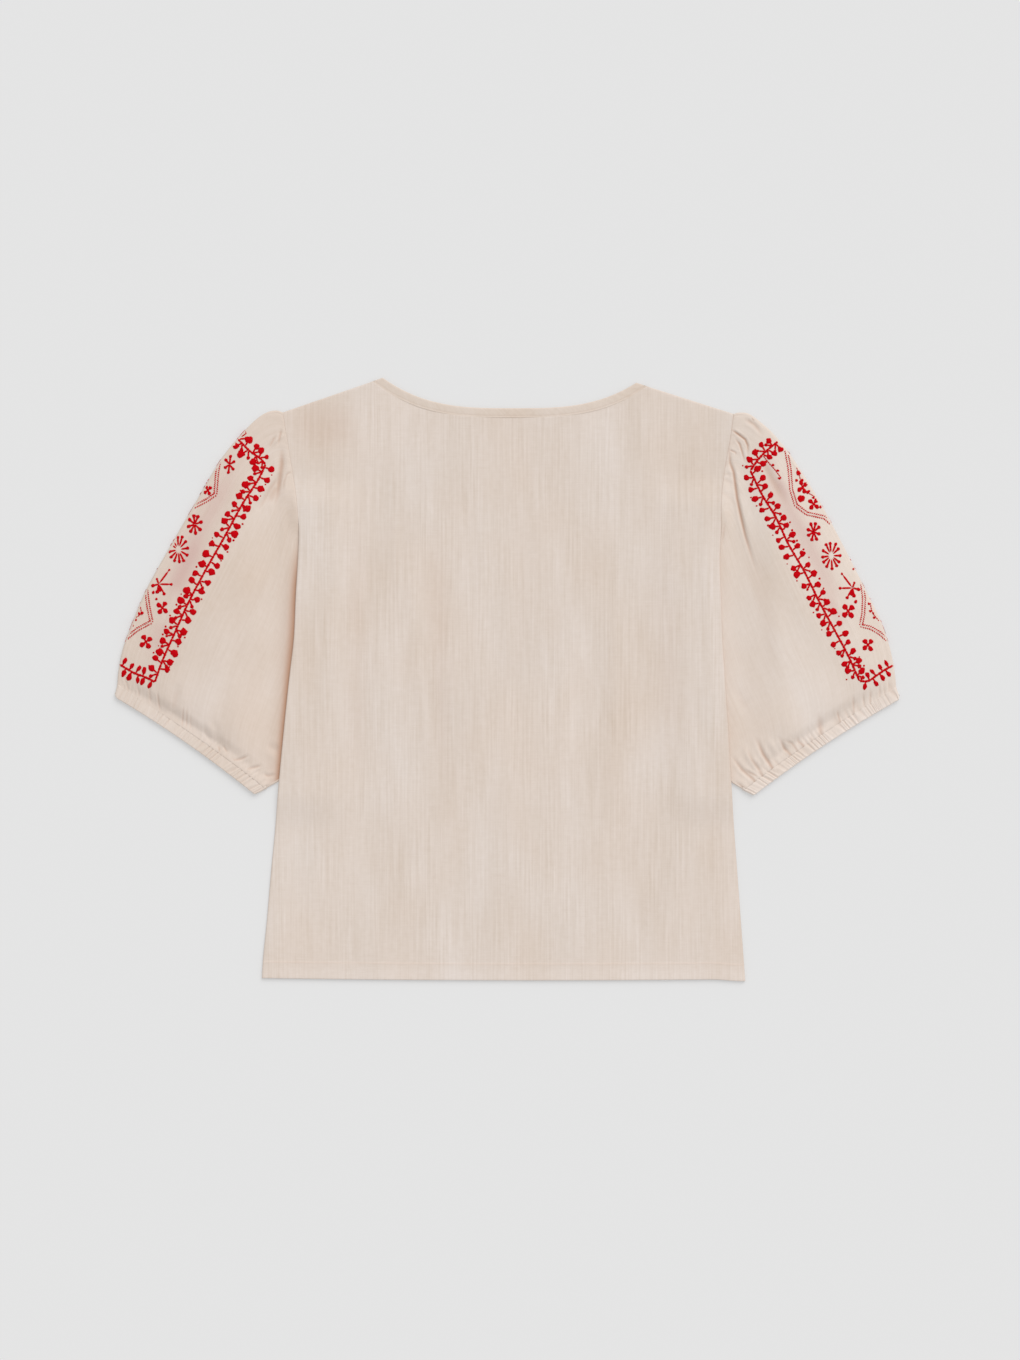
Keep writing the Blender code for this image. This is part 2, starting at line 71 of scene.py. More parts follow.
def alongPath(at, reached, path):
    # Points at given distances along a path, by straight lines
    return np.stack([np.interp(at, reached, column) for column in path.T], axis=-1)


def smoothPath(pointsMm, step):
    # The cubic through a few points by their distance along the line, sampled at even steps
    points = np.array(pointsMm) / 1000
    reached = distances(points)
    at = np.linspace(0, reached[-1], max(int(reached[-1] / step), 3) + 1)
    return np.stack([through(at, reached, column) for column in points.T], axis=-1)


def heading(way):
    # Angle of a direction in the plan
    return np.arctan2(way[..., 1], way[..., 0])


def directions(path):
    # Unit vectors along a path and square to it, to its left
    along = np.gradient(path, axis=0)
    along /= np.linalg.norm(along, axis=1, keepdims=True)
    return along, np.stack([-along[:, 1], along[:, 0]], axis=1)


def rounded(distance, drop, wide):
    # A quarter round, 1 - square root of (1 - share^2), after a shallow parabola four times as wide
    share, lead = np.clip(1 - distance / wide, 0, 1), np.clip(1 - distance / (4 * wide), 0, 1)
    return drop * (0.85 * (1 - np.sqrt(1 - share * share)) + 0.15 * lead * lead)


# Folds are (points along the line in mm, half width mm, height mm, how dark it lies as painted
# shade; pink tables give how pink instead). Each starts where it is strongest.
foldShape = {
    "height": 1.2,  # factors on the tables' heights and darkness
    "dark": 0.62,
    "darkWidth": 0.8,  # in half widths
    "lip": (0.3, 2.1),  # height of the lip beside a groove, and its distance in half widths
    "start": (0.35, 0.2),  # strength at the start, and the share of the line over which it grows
    "end": 0.5,  # share of the line over which it fades
}


def foldField(x, y, table):
    # A sum of bells across lines: height * exp(-(distance / width)^2), with a small lip beside a
    # groove, and fading towards the line's end. Returns the height and how dark each point lies: painted
    # shade, or pink.
    height, dark = np.zeros_like(x), np.zeros_like(x)
    first, grows = foldShape["start"]
    lip, lipAt = foldShape["lip"]
    for pathMm, wideMm, riseMm, shade in table:
        path, wide = np.array(pathMm) / 1000, wideMm / 1000
        before = distances(path)
        nearest, reached = np.full_like(x, np.inf), np.zeros_like(x)
        for start, end, passed in zip(path[:-1], path[1:], before):
            length = np.linalg.norm(end - start)
            run = (end - start) / length
            part = np.clip((x - start[0]) * run[0] + (y - start[1]) * run[1], 0, length)
            off = np.hypot(x - start[0] - part * run[0], y - start[1] - part * run[1])
            reached = np.where(off < nearest, (passed + part) / before[-1], reached)
            nearest = np.minimum(off, nearest)
        tail = ease((1 - reached) / foldShape["end"]) * (first + (1 - first) * ease(reached / grows))
        bell = np.exp(-((nearest / wide) ** 2))
        if riseMm < 0:
            bell = bell - lip * np.exp(-(((nearest - lipAt * wide) / wide) ** 2))
        height += foldShape["height"] * riseMm / 1000 * bell * tail
        shaded = np.exp(-((nearest / (foldShape["darkWidth"] * wide)) ** 2))
        dark = np.maximum(dark, foldShape["dark"] * shade * shaded * tail)
    return height, dark


# Meshes

def newPiece(name, points, faces, uv, masks, material):
    # A mesh with the grain of its cloth or thread as UV map, and its masks as point attributes
    mesh = bpy.data.meshes.new(name)
    mesh.from_pydata(points.tolist(), [], faces)
    layer = mesh.uv_layers.new(name="grain")
    layer.data.foreach_set("uv", np.asarray(uv, np.float32).ravel())
    for label, values in masks.items():
        attribute = mesh.attributes.new(label, "FLOAT", "POINT")
        attribute.data.foreach_set("value", np.asarray(values, np.float32).ravel())
    mesh.materials.append(material)
    mesh.shade_smooth()
    piece = bpy.data.objects.new(name, mesh)
    bpy.context.scene.collection.objects.link(piece)
    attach(piece, "root")
    return piece


def gridMesh(name, grid, uv, masks, material, closed=False, flip=False):
    # A surface from rows by columns of points; closed joins the last column to the first
    rows, columns = grid.shape[:2]
    index = np.arange(rows * columns).reshape(rows, columns)
    uvIndex = np.arange(rows * uv.shape[1]).reshape(rows, -1)
    if closed:
        index = np.hstack([index, index[:, :1]])
    corners = [(slice(None, -1), slice(None, -1)), (slice(1, None), slice(None, -1)),
               (slice(1, None), slice(1, None)), (slice(None, -1), slice(1, None))]
    faces = np.stack([index[corner] for corner in corners], axis=-1).reshape(-1, 4)
    uvFaces = np.stack([uvIndex[corner] for corner in corners], axis=-1).reshape(-1, 4)
    if flip:
        faces, uvFaces = faces[:, ::-1], uvFaces[:, ::-1]
    faces = faces.tolist()
    return newPiece(name, grid.reshape(-1, 3), faces, uv.reshape(-1, 2)[uvFaces.ravel()], masks, material)


def closedStrip(name, sections, uv, material, masks):
    # A closed profile carried along a path, with both ends closed by a fan
    rows, columns = sections.shape[:2]
    points = np.vstack([sections.reshape(-1, 3), sections[0].mean(0), sections[-1].mean(0)])
    index = np.arange(rows * columns).reshape(rows, columns)
    after = np.roll(index, -1, axis=1)
    sides = np.stack([index[:-1], index[1:], after[1:], after[:-1]], axis=-1).reshape(-1, 4)
    first, last = rows * columns, rows * columns + 1
    startCap = np.stack([after[0], np.full(columns, first), index[0]], axis=-1)
    endCap = np.stack([index[-1], np.full(columns, last), after[-1]], axis=-1)
    faces = [face for part in (sides, startCap, endCap) for face in part.tolist()]
    uvPoints = np.vstack([uv.reshape(-1, 2), uv[0].mean(0), uv[-1].mean(0)])
    loops = np.concatenate([sides.ravel(), startCap.ravel(), endCap.ravel()])
    masks = {key: np.concatenate([value.ravel(), [0, 0]]) for key, value in masks.items()}
    return newPiece(name, points, faces, uvPoints[loops], masks, material)


def giveWall(piece, thickness):
    # The wall goes inwards, so the surface that shows stays where it is
    wall = piece.modifiers.new("wall", "SOLIDIFY")
    wall.thickness = thickness
    wall.offset = -1.0
    return wall


# Materials

def addNode(tree, kind, inputs=None, **settings):
    # A node whose inputs are linked where a socket is given, and set otherwise
    made = tree.nodes.new(kind)
    for key, value in settings.items():
        setattr(made, key, value)
    for key, value in (inputs or {}).items():
        if isinstance(value, bpy.types.NodeSocket):
            tree.links.new(value, made.inputs[key])
        else:
            made.inputs[key].default_value = value
    return made


def calc(tree, operation, first, second=0.0):
    # The result of one sum on two sockets or numbers
    return addNode(tree, "ShaderNodeMath", {0: first, 1: second}, operation=operation).outputs[0]


def sums(tree):
    # Short names for a tree's sums and products
    return (lambda first, second: calc(tree, "ADD", first, second),
            lambda first, second: calc(tree, "MULTIPLY", first, second))


def mixColour(tree, share, first, second, blend="MIX"):
    # first * (1 - share) + second * share, or their product
    inputs = {0: share, 6: first, 7: second}
    return addNode(tree, "ShaderNodeMix", inputs, data_type="RGBA", blend_type=blend).outputs[2]


def stretchedNoise(tree, place, stretch, detail=2.0):
    # Noise on a place multiplied by one factor for each axis
    scaled = addNode(tree, "ShaderNodeVectorMath", {0: place, 1: stretch}, operation="MULTIPLY")
    inputs = {"Vector": scaled.outputs[0], "Scale": 1.0, "Detail": detail}
    return addNode(tree, "ShaderNodeTexNoise", inputs).outputs[0]


def stripes(tree, place, axis, pitch):
    # sin(2 pi place / pitch) along one axis
    split = addNode(tree, "ShaderNodeSeparateXYZ", {0: place})
    turns = calc(tree, "DIVIDE", 2 * np.pi, pitch)
    return calc(tree, "SINE", calc(tree, "MULTIPLY", split.outputs[axis], turns))


def newGroup(name, inputs, outputs):
    # Each socket's name, by its kind
    group = bpy.data.node_groups.new(name, "ShaderNodeTree")
    for way, sockets in (("INPUT", inputs), ("OUTPUT", outputs)):
        for label, kind in sockets.items():
            group.interface.new_socket(name=label, in_out=way, socket_type="NodeSocket" + kind)
    return group, group.nodes.new("NodeGroupInput").outputs, group.nodes.new("NodeGroupOutput").inputs


# How each noise is stretched across and along the warp, and its detail
weaveNoise = {
    "slub": ((480.0, 14.0, 1.0), 4.0),
    "crossSlub": ((60.0, 1100.0, 1.0), 2.0),
    "mottle": ((22.0, 6.0, 1.0), 3.0),
    "blotch": ((210.0, 150.0, 1.0), 3.0),
    "warmth": ((12.0, 7.0, 2.0), 2.0),
    "patches": ((33.0, 12.0, 5.0), 1.0),
}


def weaveGroup():
    # Plain weave with slubs along the warp, slow mottling, painted shade, painted light and pink spots. The
    # tone is multiplied by 1 plus a sum of noises, each taken about its mean and times its strength, and the
    # painted light.
    group, given, result = newGroup(
        "plainWeave",
        {"Place": "Vector", "Pitch": "Float", "Slub": "Float", "Mottle": "Float", "Tone": "Color",
         "Warm": "Color", "ShadeTone": "Color", "Pink": "Color", "Paintedshade": "Float", "Blush": "Float",
         "Light": "Float"},
        {"Color": "Color", "Roughness": "Float", "Height": "Float"},
    )
    plus, times = sums(group)
    noise = {key: stretchedNoise(group, given["Place"], *look) for key, look in weaveNoise.items()}

    def varied(key, strength):
        return times(plus(noise[key], -0.5), strength)

    slubs = varied("slub", times(given["Slub"], times(noise["patches"], 2.0)))
    value = plus(slubs, plus(times(varied("crossSlub", given["Slub"]), 0.36), varied("blotch", 0.10)))
    # Painted light: the Light mask raises the tone, and lightens the hem band
    value = plus(value, plus(varied("mottle", given["Mottle"]), given["Light"]))
    # Darker places are warmer, as thicker cloth is, and the painted light shifts the tint the same way
    bands = [plus(times(value, share), 1.0) for share in (0.8, 1.0, 1.3)]
    tint = addNode(group, "ShaderNodeCombineXYZ", dict(enumerate(bands))).outputs[0]
    warmth = plus(times(noise["warmth"], 1.8), -0.4)
    colour = mixColour(group, warmth, given["Tone"], given["Warm"])
    colour = mixColour(group, 1.0, colour, tint, "MULTIPLY")
    colour = mixColour(group, given["Blush"], colour, given["Pink"])
    # Painted shade: the mask draws the colour towards a warm dark tone where shade falls in folds, seams and
    # valleys
    colour = mixColour(group, given["Paintedshade"], colour, given["ShadeTone"])
    group.links.new(colour, result["Color"])
    group.links.new(plus(times(noise["slub"], 0.16), 0.76), result["Roughness"])
    weave = times(*[stripes(group, given["Place"], axis, given["Pitch"]) for axis in (0, 1)])
    group.links.new(plus(times(weave, 0.35), times(noise["slub"], 0.7)), result["Height"])
    return group


def threadGroup():
    # Parallel threads: a sine across them gives the height and painted shade between them, and a noise along
    # them the tone
    group, given, result = newGroup(
        "laidThreads",
        {"Place": "Vector", "Pitch": "Float", "Tone": "Color", "Dark": "Color", "Shade": "Float"},
        {"Color": "Color", "Height": "Float"},
    )
    plus, times = sums(group)
    laid = stripes(group, given["Place"], 0, given["Pitch"])
    worn = stretchedNoise(group, given["Place"], (900.0, 260.0, 1.0))
    # Painted shade: darker between the threads, where shade falls
    between = times(calc(group, "SUBTRACT", 1.0, laid), 0.16)
    share = times(plus(plus(times(worn, 0.35), between), given["Shade"]), 0.8)
    group.links.new(mixColour(group, share, given["Tone"], given["Dark"]), result["Color"])
    group.links.new(laid, result["Height"])
    return group


def grainMaterial(name, group, turn, masks, values, bump, settings):
    # Principled, with a group on the grain and the piece's masks for its colour and height
    material = bpy.data.materials.new(name)
    material.use_nodes = True
    tree = material.node_tree
    shader = tree.nodes["Principled BSDF"]
    place = addNode(tree, "ShaderNodeUVMap", uv_map="grain").outputs[0]
    place = addNode(tree, "ShaderNodeMapping", {"Vector": place, "Rotation": (0, 0, turn)}).outputs[0]
    for label in masks:
        mask = addNode(tree, "ShaderNodeAttribute", attribute_name=label)
        values[label.capitalize()] = mask.outputs["Fac"]
    made = addNode(tree, "ShaderNodeGroup", {"Place": place, **values}, node_tree=group).outputs
    inputs = {"Strength": bump[0], "Distance": bump[1], "Height": made["Height"]}
    tree.links.new(addNode(tree, "ShaderNodeBump", inputs).outputs[0], shader.inputs["Normal"])
    tree.links.new(made["Color"], shader.inputs["Base Color"])
    if "Roughness" in made:
        tree.links.new(made["Roughness"], shader.inputs["Roughness"])
    for key, value in settings.items():
        shader.inputs[key].default_value = value
    return material


clothLooks = {
    "tone": (0.751, 0.664, 0.602, 1),
    "warm": (0.715, 0.602, 0.516, 1),
    # colour of the painted shade in folds, seams and valleys
    "shadeTone": (0.470, 0.245, 0.145, 1),
    "pink": (0.655, 0.450, 0.410, 1),
    "pitch": 0.00046,
    "slub": 0.27,
    "mottle": 0.20,
    "bump": (0.16, 0.0004),  # strength and depth
    "shader": {"Specular IOR Level": 0.15, "Sheen Weight": 0.06, "Sheen Roughness": 0.5},
}

threadLooks = {
    "bump": (0.35, 0.0003),
    "shader": {"Specular IOR Level": 0.01, "Roughness": 0.7},
}


def clothMaterial(name, tone, slub=1.0, turn=0.0):
    # The weave with its own tone, strength of slubs and turn of the grain
    looks = clothLooks
    warm = tuple(value * share / base for value, share, base in zip(looks["warm"], tone, looks["tone"]))
    values = {"Pitch": looks["pitch"], "Slub": slub * looks["slub"], "Mottle": looks["mottle"],
              "Tone": tone, "Warm": warm, "ShadeTone": looks["shadeTone"], "Pink": looks["pink"]}
    # masks: painted shade, pink spots, and painted light with a lighter hem band
    masks = ("paintedshade", "blush", "light")
    return grainMaterial(name, weave, turn, masks, values, looks["bump"], looks["shader"])


def threadMaterial(name, tone, dark, pitch):
    # Laid threads, light to dark, at their own pitch
    values = {"Pitch": pitch, "Tone": tone, "Dark": dark}
    return grainMaterial(name, threads, 0.0, ("shade",), values, threadLooks["bump"], threadLooks["shader"])


weave = weaveGroup()
threads = threadGroup()
bodyCloth = clothMaterial("bodyCloth", clothLooks["tone"])
sleeveCloth = clothMaterial("sleeveCloth", (0.757, 0.660, 0.588, 1), 0.55)
cuffCloth = clothMaterial("cuffCloth", (0.757, 0.660, 0.588, 1), 0.55)
bindingCloth = clothMaterial("bindingCloth", (0.752, 0.655, 0.580, 1), 0.6, np.pi / 4)
redThread = threadMaterial("redThread", (0.660, 0.003, 0.008, 1), (0.420, 0.002, 0.005, 1), 0.00042)
sewingThread = threadMaterial("sewingThread", (0.757, 0.662, 0.590, 1), (0.680, 0.585, 0.500, 1), 0.0003)
print("materials made")


# Body

body = {
    "layer": 0.0012,  # height that one layer of cloth takes where layers lie on each other
    "apart": 0.0003,
    "cloth": 0.0006,  # wall of the shells
    "hemLayer": 0.0015,
    "hemWall": 0.0013,
    "hemDepth": 0.0170,
    "hemStep": (0.0004, 0.0012, 0.030),  # rise at the hem: its sharp part, and both parts' widths
    "seamDrop": (0.0018, 0.0012),  # how far the back turns down to the front at a seam, and its width
    "liftedDrop": 0.0003,  # added where the side lies on a sleeve
    "armholeDrop": 0.0001,
    "hemDrop": (0.0011, 0.0007),
    "frontRise": (0.0002, 0.0012),
    "swell": (0.00022, 0.00012),  # slow waves of the back, and of the front
    "calm": (0.012, 0.05),  # folds and swell fade over this at the sides, and at the hem
    "frontCalm": (0.02, 0.03),  # the front's clearance and swell fade over this at the sides
    "tuck": 0.0009,  # how far a sewn edge runs on under its neighbour
    "neckTuck": (-0.00004, 0.0003),  # rise of the back's and the front's edge under the binding
    "hemDark": (0.10, 0.0007, 0.0004),  # painted shade along the hem's step: how dark, half width, how far below
    # painted shade along the side edges: how dark, half width
    "sideDark": (0.05, 0.0012),
    "hemLight": 0.045,
    "sideLight": (0.045, 0.007, 0.006),  # painted light along the right side: how light, where, half width
    "sideLightTop": (0.170, 0.06),  # y where the band ends, and over what distance it fades
    "neckLeft": (-0.1244, 0.3013),
    "neckRight": (0.1287, 0.2963),
    "neckMiddle": 0.0057,
    "backNeck": (0.2709, 3.1),  # lowest point of the curve and its power
    "frontNeck": (0.2060, 2.3),
    "shoulderLeft": 0.2668,
    "shoulderRight": 0.2653,
    "hemEdge": (-0.2987, -0.3009, -0.2997),  # left corner, middle, right corner
    "hemCorner": (0.0020, 0.203, 0.033),  # how far the right corner hangs lower, from where, over what
    "sides": [  # y, left x, right x
        (0.2668, -0.2244, 0.2262), (0.2400, -0.2201, 0.2224), (0.2100, -0.2151, 0.2170),
        (0.1800, -0.2106, 0.2135), (0.1500, -0.2084, 0.2134), (0.1180, -0.2094, 0.2124),
        (0.0850, -0.2114, 0.2134), (0.0400, -0.2135, 0.2150), (0.0000, -0.2181, 0.2175),
        (-0.0600, -0.2243, 0.2214), (-0.1000, -0.2281, 0.2236), (-0.1500, -0.2322, 0.2267),
        (-0.2000, -0.2369, 0.2304), (-0.2400, -0.2403, 0.2333), (-0.2830, -0.2445, 0.2365),
        (-0.3010, -0.2455, 0.2378),
    ],
    "lift": 0.0033,  # how far a tucked sleeve raises the body's side
    "liftTop": (0.205, 0.170),  # y from which it fades in, and to which, at both ends
    "liftBottom": (-0.112, -0.152),
    "liftInside": (0.034, 0.082),  # distances from the side between which it fades
    "rows": 168,
    "neckColumns": 84,
    "backCut": ((0.500, 0.640), 0.270),  # width and length of the cut, and its area
    "frontCut": ((0.500, 0.640), 0.262),
    "edgeSteps": (0, 0.0001, 0.0003, 0.0006, 0.0010, 0.0018, 0.0030),
    "hemSteps": (-0.0030, -0.0014, -0.0006, 0.0001, 0.0009, 0.0024),  # rows about the hem's upper edge
    "sideStart": 0.0055,  # where the even columns beside the neck begin, and how many there are
    "sideColumns": 28,
    "settle": 0.4,  # share of the height over which the neck's columns settle
}

# The last number paints shade along the grooves; the line with no height paints shade over the left shoulder
backFolds = [
    ([(-150.4, -90.7), (-149.4, -10.7), (-149.4, 119.3), (-151.4, 229.3)], 14, -0.5, 0.09),
    ([(-177.4, 219.3), (-175.4, 119.3), (-176.4, -10.7), (-182.4, -100.7)], 12, 0.55, 0),
    ([(-114.4, 239.3), (-112.4, 119.3), (-111.4, 39.3)], 5, 0.35, 0),
    ([(-97.4, 119.3), (-89.4, -0.7), (-77.4, -80.7), (-73.4, -170.7)], 9, 0.45, 0),
    ([(-70.4, 139.3), (-67.4, -10.7), (-61.4, -150.7)], 13, -0.5, 0.11),
    ([(-29.4, 239.3), (-23.4, 209.3), (-24.4, 119.3), (-27.4, 29.3), (-18.4, -110.7)], 10, 0.5, 0),
    ([(19.6, 139.3), (12.6, 39.3), (3.6, -20.7)], 8, -0.4, 0.02),
    ([(52.6, 29.3), (54.6, -50.7), (53.6, -120.7)], 7, 0.3, 0),
    ([(67.6, 79.3), (82.6, 39.3), (77.6, -80.7)], 10, -0.25, 0),
    ([(104.6, 139.3), (107.6, 39.3), (104.6, -80.7), (106.6, -180.7)], 10, 0.55, 0),
    ([(156.6, 119.3), (162.6, -0.7), (160.6, -120.7)], 15, -0.3, 0.08),
    ([(-212.4, 258.3), (-176.4, 252.3), (-140.4, 262.3)], 26, 0, 0.2),
    ([(192.6, 229.3), (198.6, 119.3), (204.6, -0.7), (208.6, -80.7)], 9, 0.5, 0),
    ([(-201.4, 239.3), (-199.4, 179.3), (-201.4, 79.3)], 7, 0.35, 0),
    ([(-207.4, 119.3), (-211.4, 39.3), (-217.4, -80.7)], 6, 0.3, 0),
]


def sideX(y, side):
    # X of the body's side edge at a height; side is -1 for the left and 1 for the right
    rows = np.array(body["sides"][::-1])
    return through(y, rows[:, 0], rows[:, 1] if side < 0 else rows[:, 2])


def hemY(x):
    # Hem's lower edge: a straight line between its corners plus a shallow parabola, and an
    # eased fall at the right corner
    left, right = body["sides"][-1][1:]
    share = (x - left) / (right - left)
    leftY, middleY, rightY = body["hemEdge"]
    sag = middleY - (leftY + rightY) / 2
    hang, start, reach = body["hemCorner"]
    straightY = leftY + (rightY - leftY) * share
    return straightY + sag * 4 * share * (1 - share) - hang * ease((x - start) / reach)


def fromSides(x, y):
    # Distance from the nearer side edge
    return np.minimum(x - sideX(y, -1), sideX(y, 1) - x)


def lift(x, y):
    # Rise of the body over the tucked sleeve: a product of three eased edges
    start, end = body["liftInside"]
    near = 1 - ease((fromSides(x, y) - start) / (end - start))
    top, bottom = body["liftTop"], body["liftBottom"]
    belowTop = ease((top[0] - y) / (top[0] - top[1]))
    aboveEnd = ease((y - bottom[1]) / (bottom[0] - bottom[1]))
    return body["lift"] * near * belowTop * aboveEnd


def panelPlan(neck):
    # Columns keep their distance from the nearer side edge. Those below the neck start on its
    # binding and settle to even steps. Rows are shares of the height, closer at edges and hem.
    columns = body["neckColumns"]
    edgeSteps = np.array(body["edgeSteps"])
    neckShare = np.linspace(0, 1, columns)
    edge, across = neckSections(neckShare, neck)
    neckTop = edge + across * (1 + body["apart"] / binding["width"])
    topY = body["sides"][0][0]
    widths = {-1: neckTop[0, 0] - float(sideX(topY, -1)), 1: float(sideX(topY, 1)) - neckTop[-1, 0]}
    height = topY - body["hemEdge"][0]
    edgeRows = edgeSteps / height
    hemRows = 1 + (np.array(body["hemSteps"]) - body["hemDepth"]) / height
    lastRows = 1 - edgeRows[::-1]
    main = np.linspace(edgeRows[-1], hemRows[0], body["rows"])[1:-1]
    between = np.linspace(hemRows[-1], lastRows[0], 5)[1:-1]
    rows = np.concatenate([edgeRows, main, hemRows, between, lastRows])[:, None]

    def sideColumns(side):
        inner = np.linspace(body["sideStart"], widths[side], body["sideColumns"])[:-1]
        distance = np.concatenate([edgeSteps, inner])
        corner, tip = shoulder(side)
        top = tip[1] + (corner[1] - tip[1]) / abs(corner[0] - tip[0]) * distance
        bottom = hemY(sideX(body["sides"][-1][0], side) - side * distance)
        y = top + (bottom - top) * rows
        return sideX(y, side) - side * distance, y, top - y

    leftX, leftY, leftDown = sideColumns(-1)
    rightX, rightY, rightDown = sideColumns(1)
    hemLeft, hemRight = body["sides"][-1][1:]
    bottomX = np.linspace(hemLeft + widths[-1], hemRight - widths[1], columns)
    middleY = neckTop[:, 1] + (hemY(bottomX) - neckTop[:, 1]) * rows

    def sideShift(y):
        left = (sideX(y, -1) - sideX(topY, -1)) * (1 - neckShare)
        return left + (sideX(y, 1) - sideX(topY, 1)) * neckShare

    settle = ease(rows / body["settle"])
    level = neckTop[0, 0] + (neckTop[-1, 0] - neckTop[0, 0]) * neckShare
    middleX = neckTop[:, 0] * (1 - settle) + level * settle
    middleX = middleX + sideShift(middleY) - sideShift(neckTop[:, 1]) * (1 - settle)
    x = np.hstack([leftX, middleX, rightX[:, ::-1]])
    y = np.hstack([leftY, middleY, rightY[:, ::-1]])
    belowShoulder = np.hstack([leftDown, np.full_like(middleX, 1.0), rightDown[:, ::-1]])
    # The first row of the neck's columns is tucked into the binding
    atNeck = slice(leftX.shape[1], leftX.shape[1] + columns)
    tucked = across * (body["tuck"] / binding["width"])
    x[0, atNeck] -= tucked[:, 0]
    y[0, atNeck] -= tucked[:, 1]
    return x, y, belowShoulder, atNeck


def onArmhole(y):
    # 1 where the sleeve is sewn to the body's edge, 0 where it is tucked under the body
    low, high = sleeves["shared"]["seamLeaves"]
    return ease((y - low) / (high - low))


def backTop(x, y, belowShoulder=1.0):
    # Height of the back's outer face: layers, the tucked sleeve, the hem's rise, the soft folds
    # and a slow swell, less the rounding at its edges
    inside, fromHem = fromSides(x, y), y - hemY(x)
    aboveHem = fromHem - body["hemDepth"]
    sharp, sharpWide, slowWide = body["hemStep"]
    step = sharp * ease(0.5 - aboveHem / sharpWide)
    slow = (2 * (body["hemLayer"] - body["layer"]) - sharp) * ease((slowWide - aboveHem) / slowWide)
    # painted shade along the back's grooves comes back with the height
    folds, dark = foldField(x, y, backFolds)
    calm = ease(inside / body["calm"][0]) * ease(fromHem / body["calm"][1])
    swell = body["swell"][0] * np.sin(71 * x + 2.1 * np.sin(9 * y)) * np.sin(13 * y + 1.3 + 5 * x)
    raised = lift(x, y)
    drop, wide = body["seamDrop"]
    sewn = onArmhole(y)
    sideDrop = (drop + body["liftedDrop"] * raised / body["lift"]) * (1 - sewn) + body["armholeDrop"] * sewn
    edges = np.maximum(rounded(inside, sideDrop, wide), rounded(belowShoulder, drop, wide))
    edges = np.maximum(edges, rounded(fromHem, *body["hemDrop"]))
    return raised + 2 * body["layer"] + body["apart"] + step + slow + (folds + swell) * calm - edges, dark


def frontUnder(x, y, belowShoulder=1.0):
    # Height of the front's outer face, which lies on the table: a little clear of it above the
    # hem, where the hem's own layer holds it up, and turned up at its edges
    inside, fromHem = fromSides(x, y), y - hemY(x)
    sharp, sharpWide, _ = body["hemStep"]
    clearSide, swellSide = body["frontCalm"]
    clear = sharp * ease(0.5 + (fromHem - body["hemDepth"]) / sharpWide) * ease(inside / clearSide)
    swell = body["swell"][1] * (1 + np.sin(58 * x + 1.7 * np.sin(8 * y)) * np.sin(11 * y + 0.4))
    swell = swell * ease(inside / swellSide) * ease(fromHem / body["calm"][1])
    edge = np.minimum(np.minimum(inside, fromHem), belowShoulder)
    return lift(x, y) + clear + swell + rounded(edge, *body["frontRise"])


def makePanel(name, neck, isBack, node):
    # The outer face on the plan's grid; the wall goes inwards and is thicker at the hem
    x, y, belowShoulder, atNeck = panelPlan(neck)
    if isBack:
        z, dark = backTop(x, y, belowShoulder)
    else:
        z, dark = frontUnder(x, y, belowShoulder), np.zeros_like(x)
    z[0, atNeck] += body["neckTuck"][0 if isBack else 1]
    fromHem = y - hemY(x)
    # Painted shade along the hem's step and the side edges, over the folds' painted shade
    hemDark, hemWide, hemBelow = body["hemDark"]
    sideDark, sideWide = body["sideDark"]
    hemLine = np.exp(-(((fromHem - body["hemDepth"] + hemBelow) / hemWide) ** 2))
    sideLine = np.exp(-((fromSides(x, y) / sideWide) ** 2))
    dark = np.maximum(dark, np.maximum(hemDark * hemLine, sideDark * sideLine))
    # Painted light along the right side, and a lighter hem band
    strength, bandAt, bandWide = body["sideLight"]
    bandTop, bandFade = body["sideLightTop"]
    band = np.exp(-(((sideX(y, 1) - x - bandAt) / bandWide) ** 2)) * ease((bandTop - y) / bandFade)
    light = body["hemLight"] * ease(1.5 - fromHem / body["hemDepth"] * 1.5) + strength * band
    masks = {"paintedshade": dark, "blush": np.zeros_like(x), "light": light}
    grid, uv = np.stack([x, y, z], axis=-1), np.stack([x, y], axis=-1)
    piece = gridMesh(name, grid, uv, masks, bodyCloth, flip=not isBack)
    hem = piece.vertex_groups.new(name="hem")
    inHem = np.flatnonzero((fromHem < body["hemDepth"] + 0.0002).ravel())
    hem.add(inHem.tolist(), 1.0, "REPLACE")
    wall = giveWall(piece, body["hemWall"])
    wall.vertex_group = hem.name
    wall.thickness_vertex_group = body["cloth"] / body["hemWall"]
    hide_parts(node)
    return piece


# Neck binding

binding = {
    "width": 0.0095,
    "end": 0.0113,  # along the shoulder seam
    "mitre": 0.05,  # share of the neck over which its ends turn to the seams
    "backWall": 0.0018,
    "groove": 0.0020,  # distance of the topstitching from the lower edge
    "grooveShape": (0.00016, 0.0006),  # depth and half width
    # painted shade in the groove: how dark, half width
    "grooveDark": (0.10, 0.0005),
    "neckSide": (0.6, 0.5),  # rounding at the neck's edge: its height and width as shares of the wall
    "panelSide": (0.22, 0.09, 0.0004),  # slow and sharp falls, as shares, and the sharp one's width
    "pucker": 0.00009,
    "rows": 190,
    "columns": 22,
    "backCut": ((0.290, 0.010), 0.0027),
    "frontCut": ((0.350, 0.010), 0.0034),
}


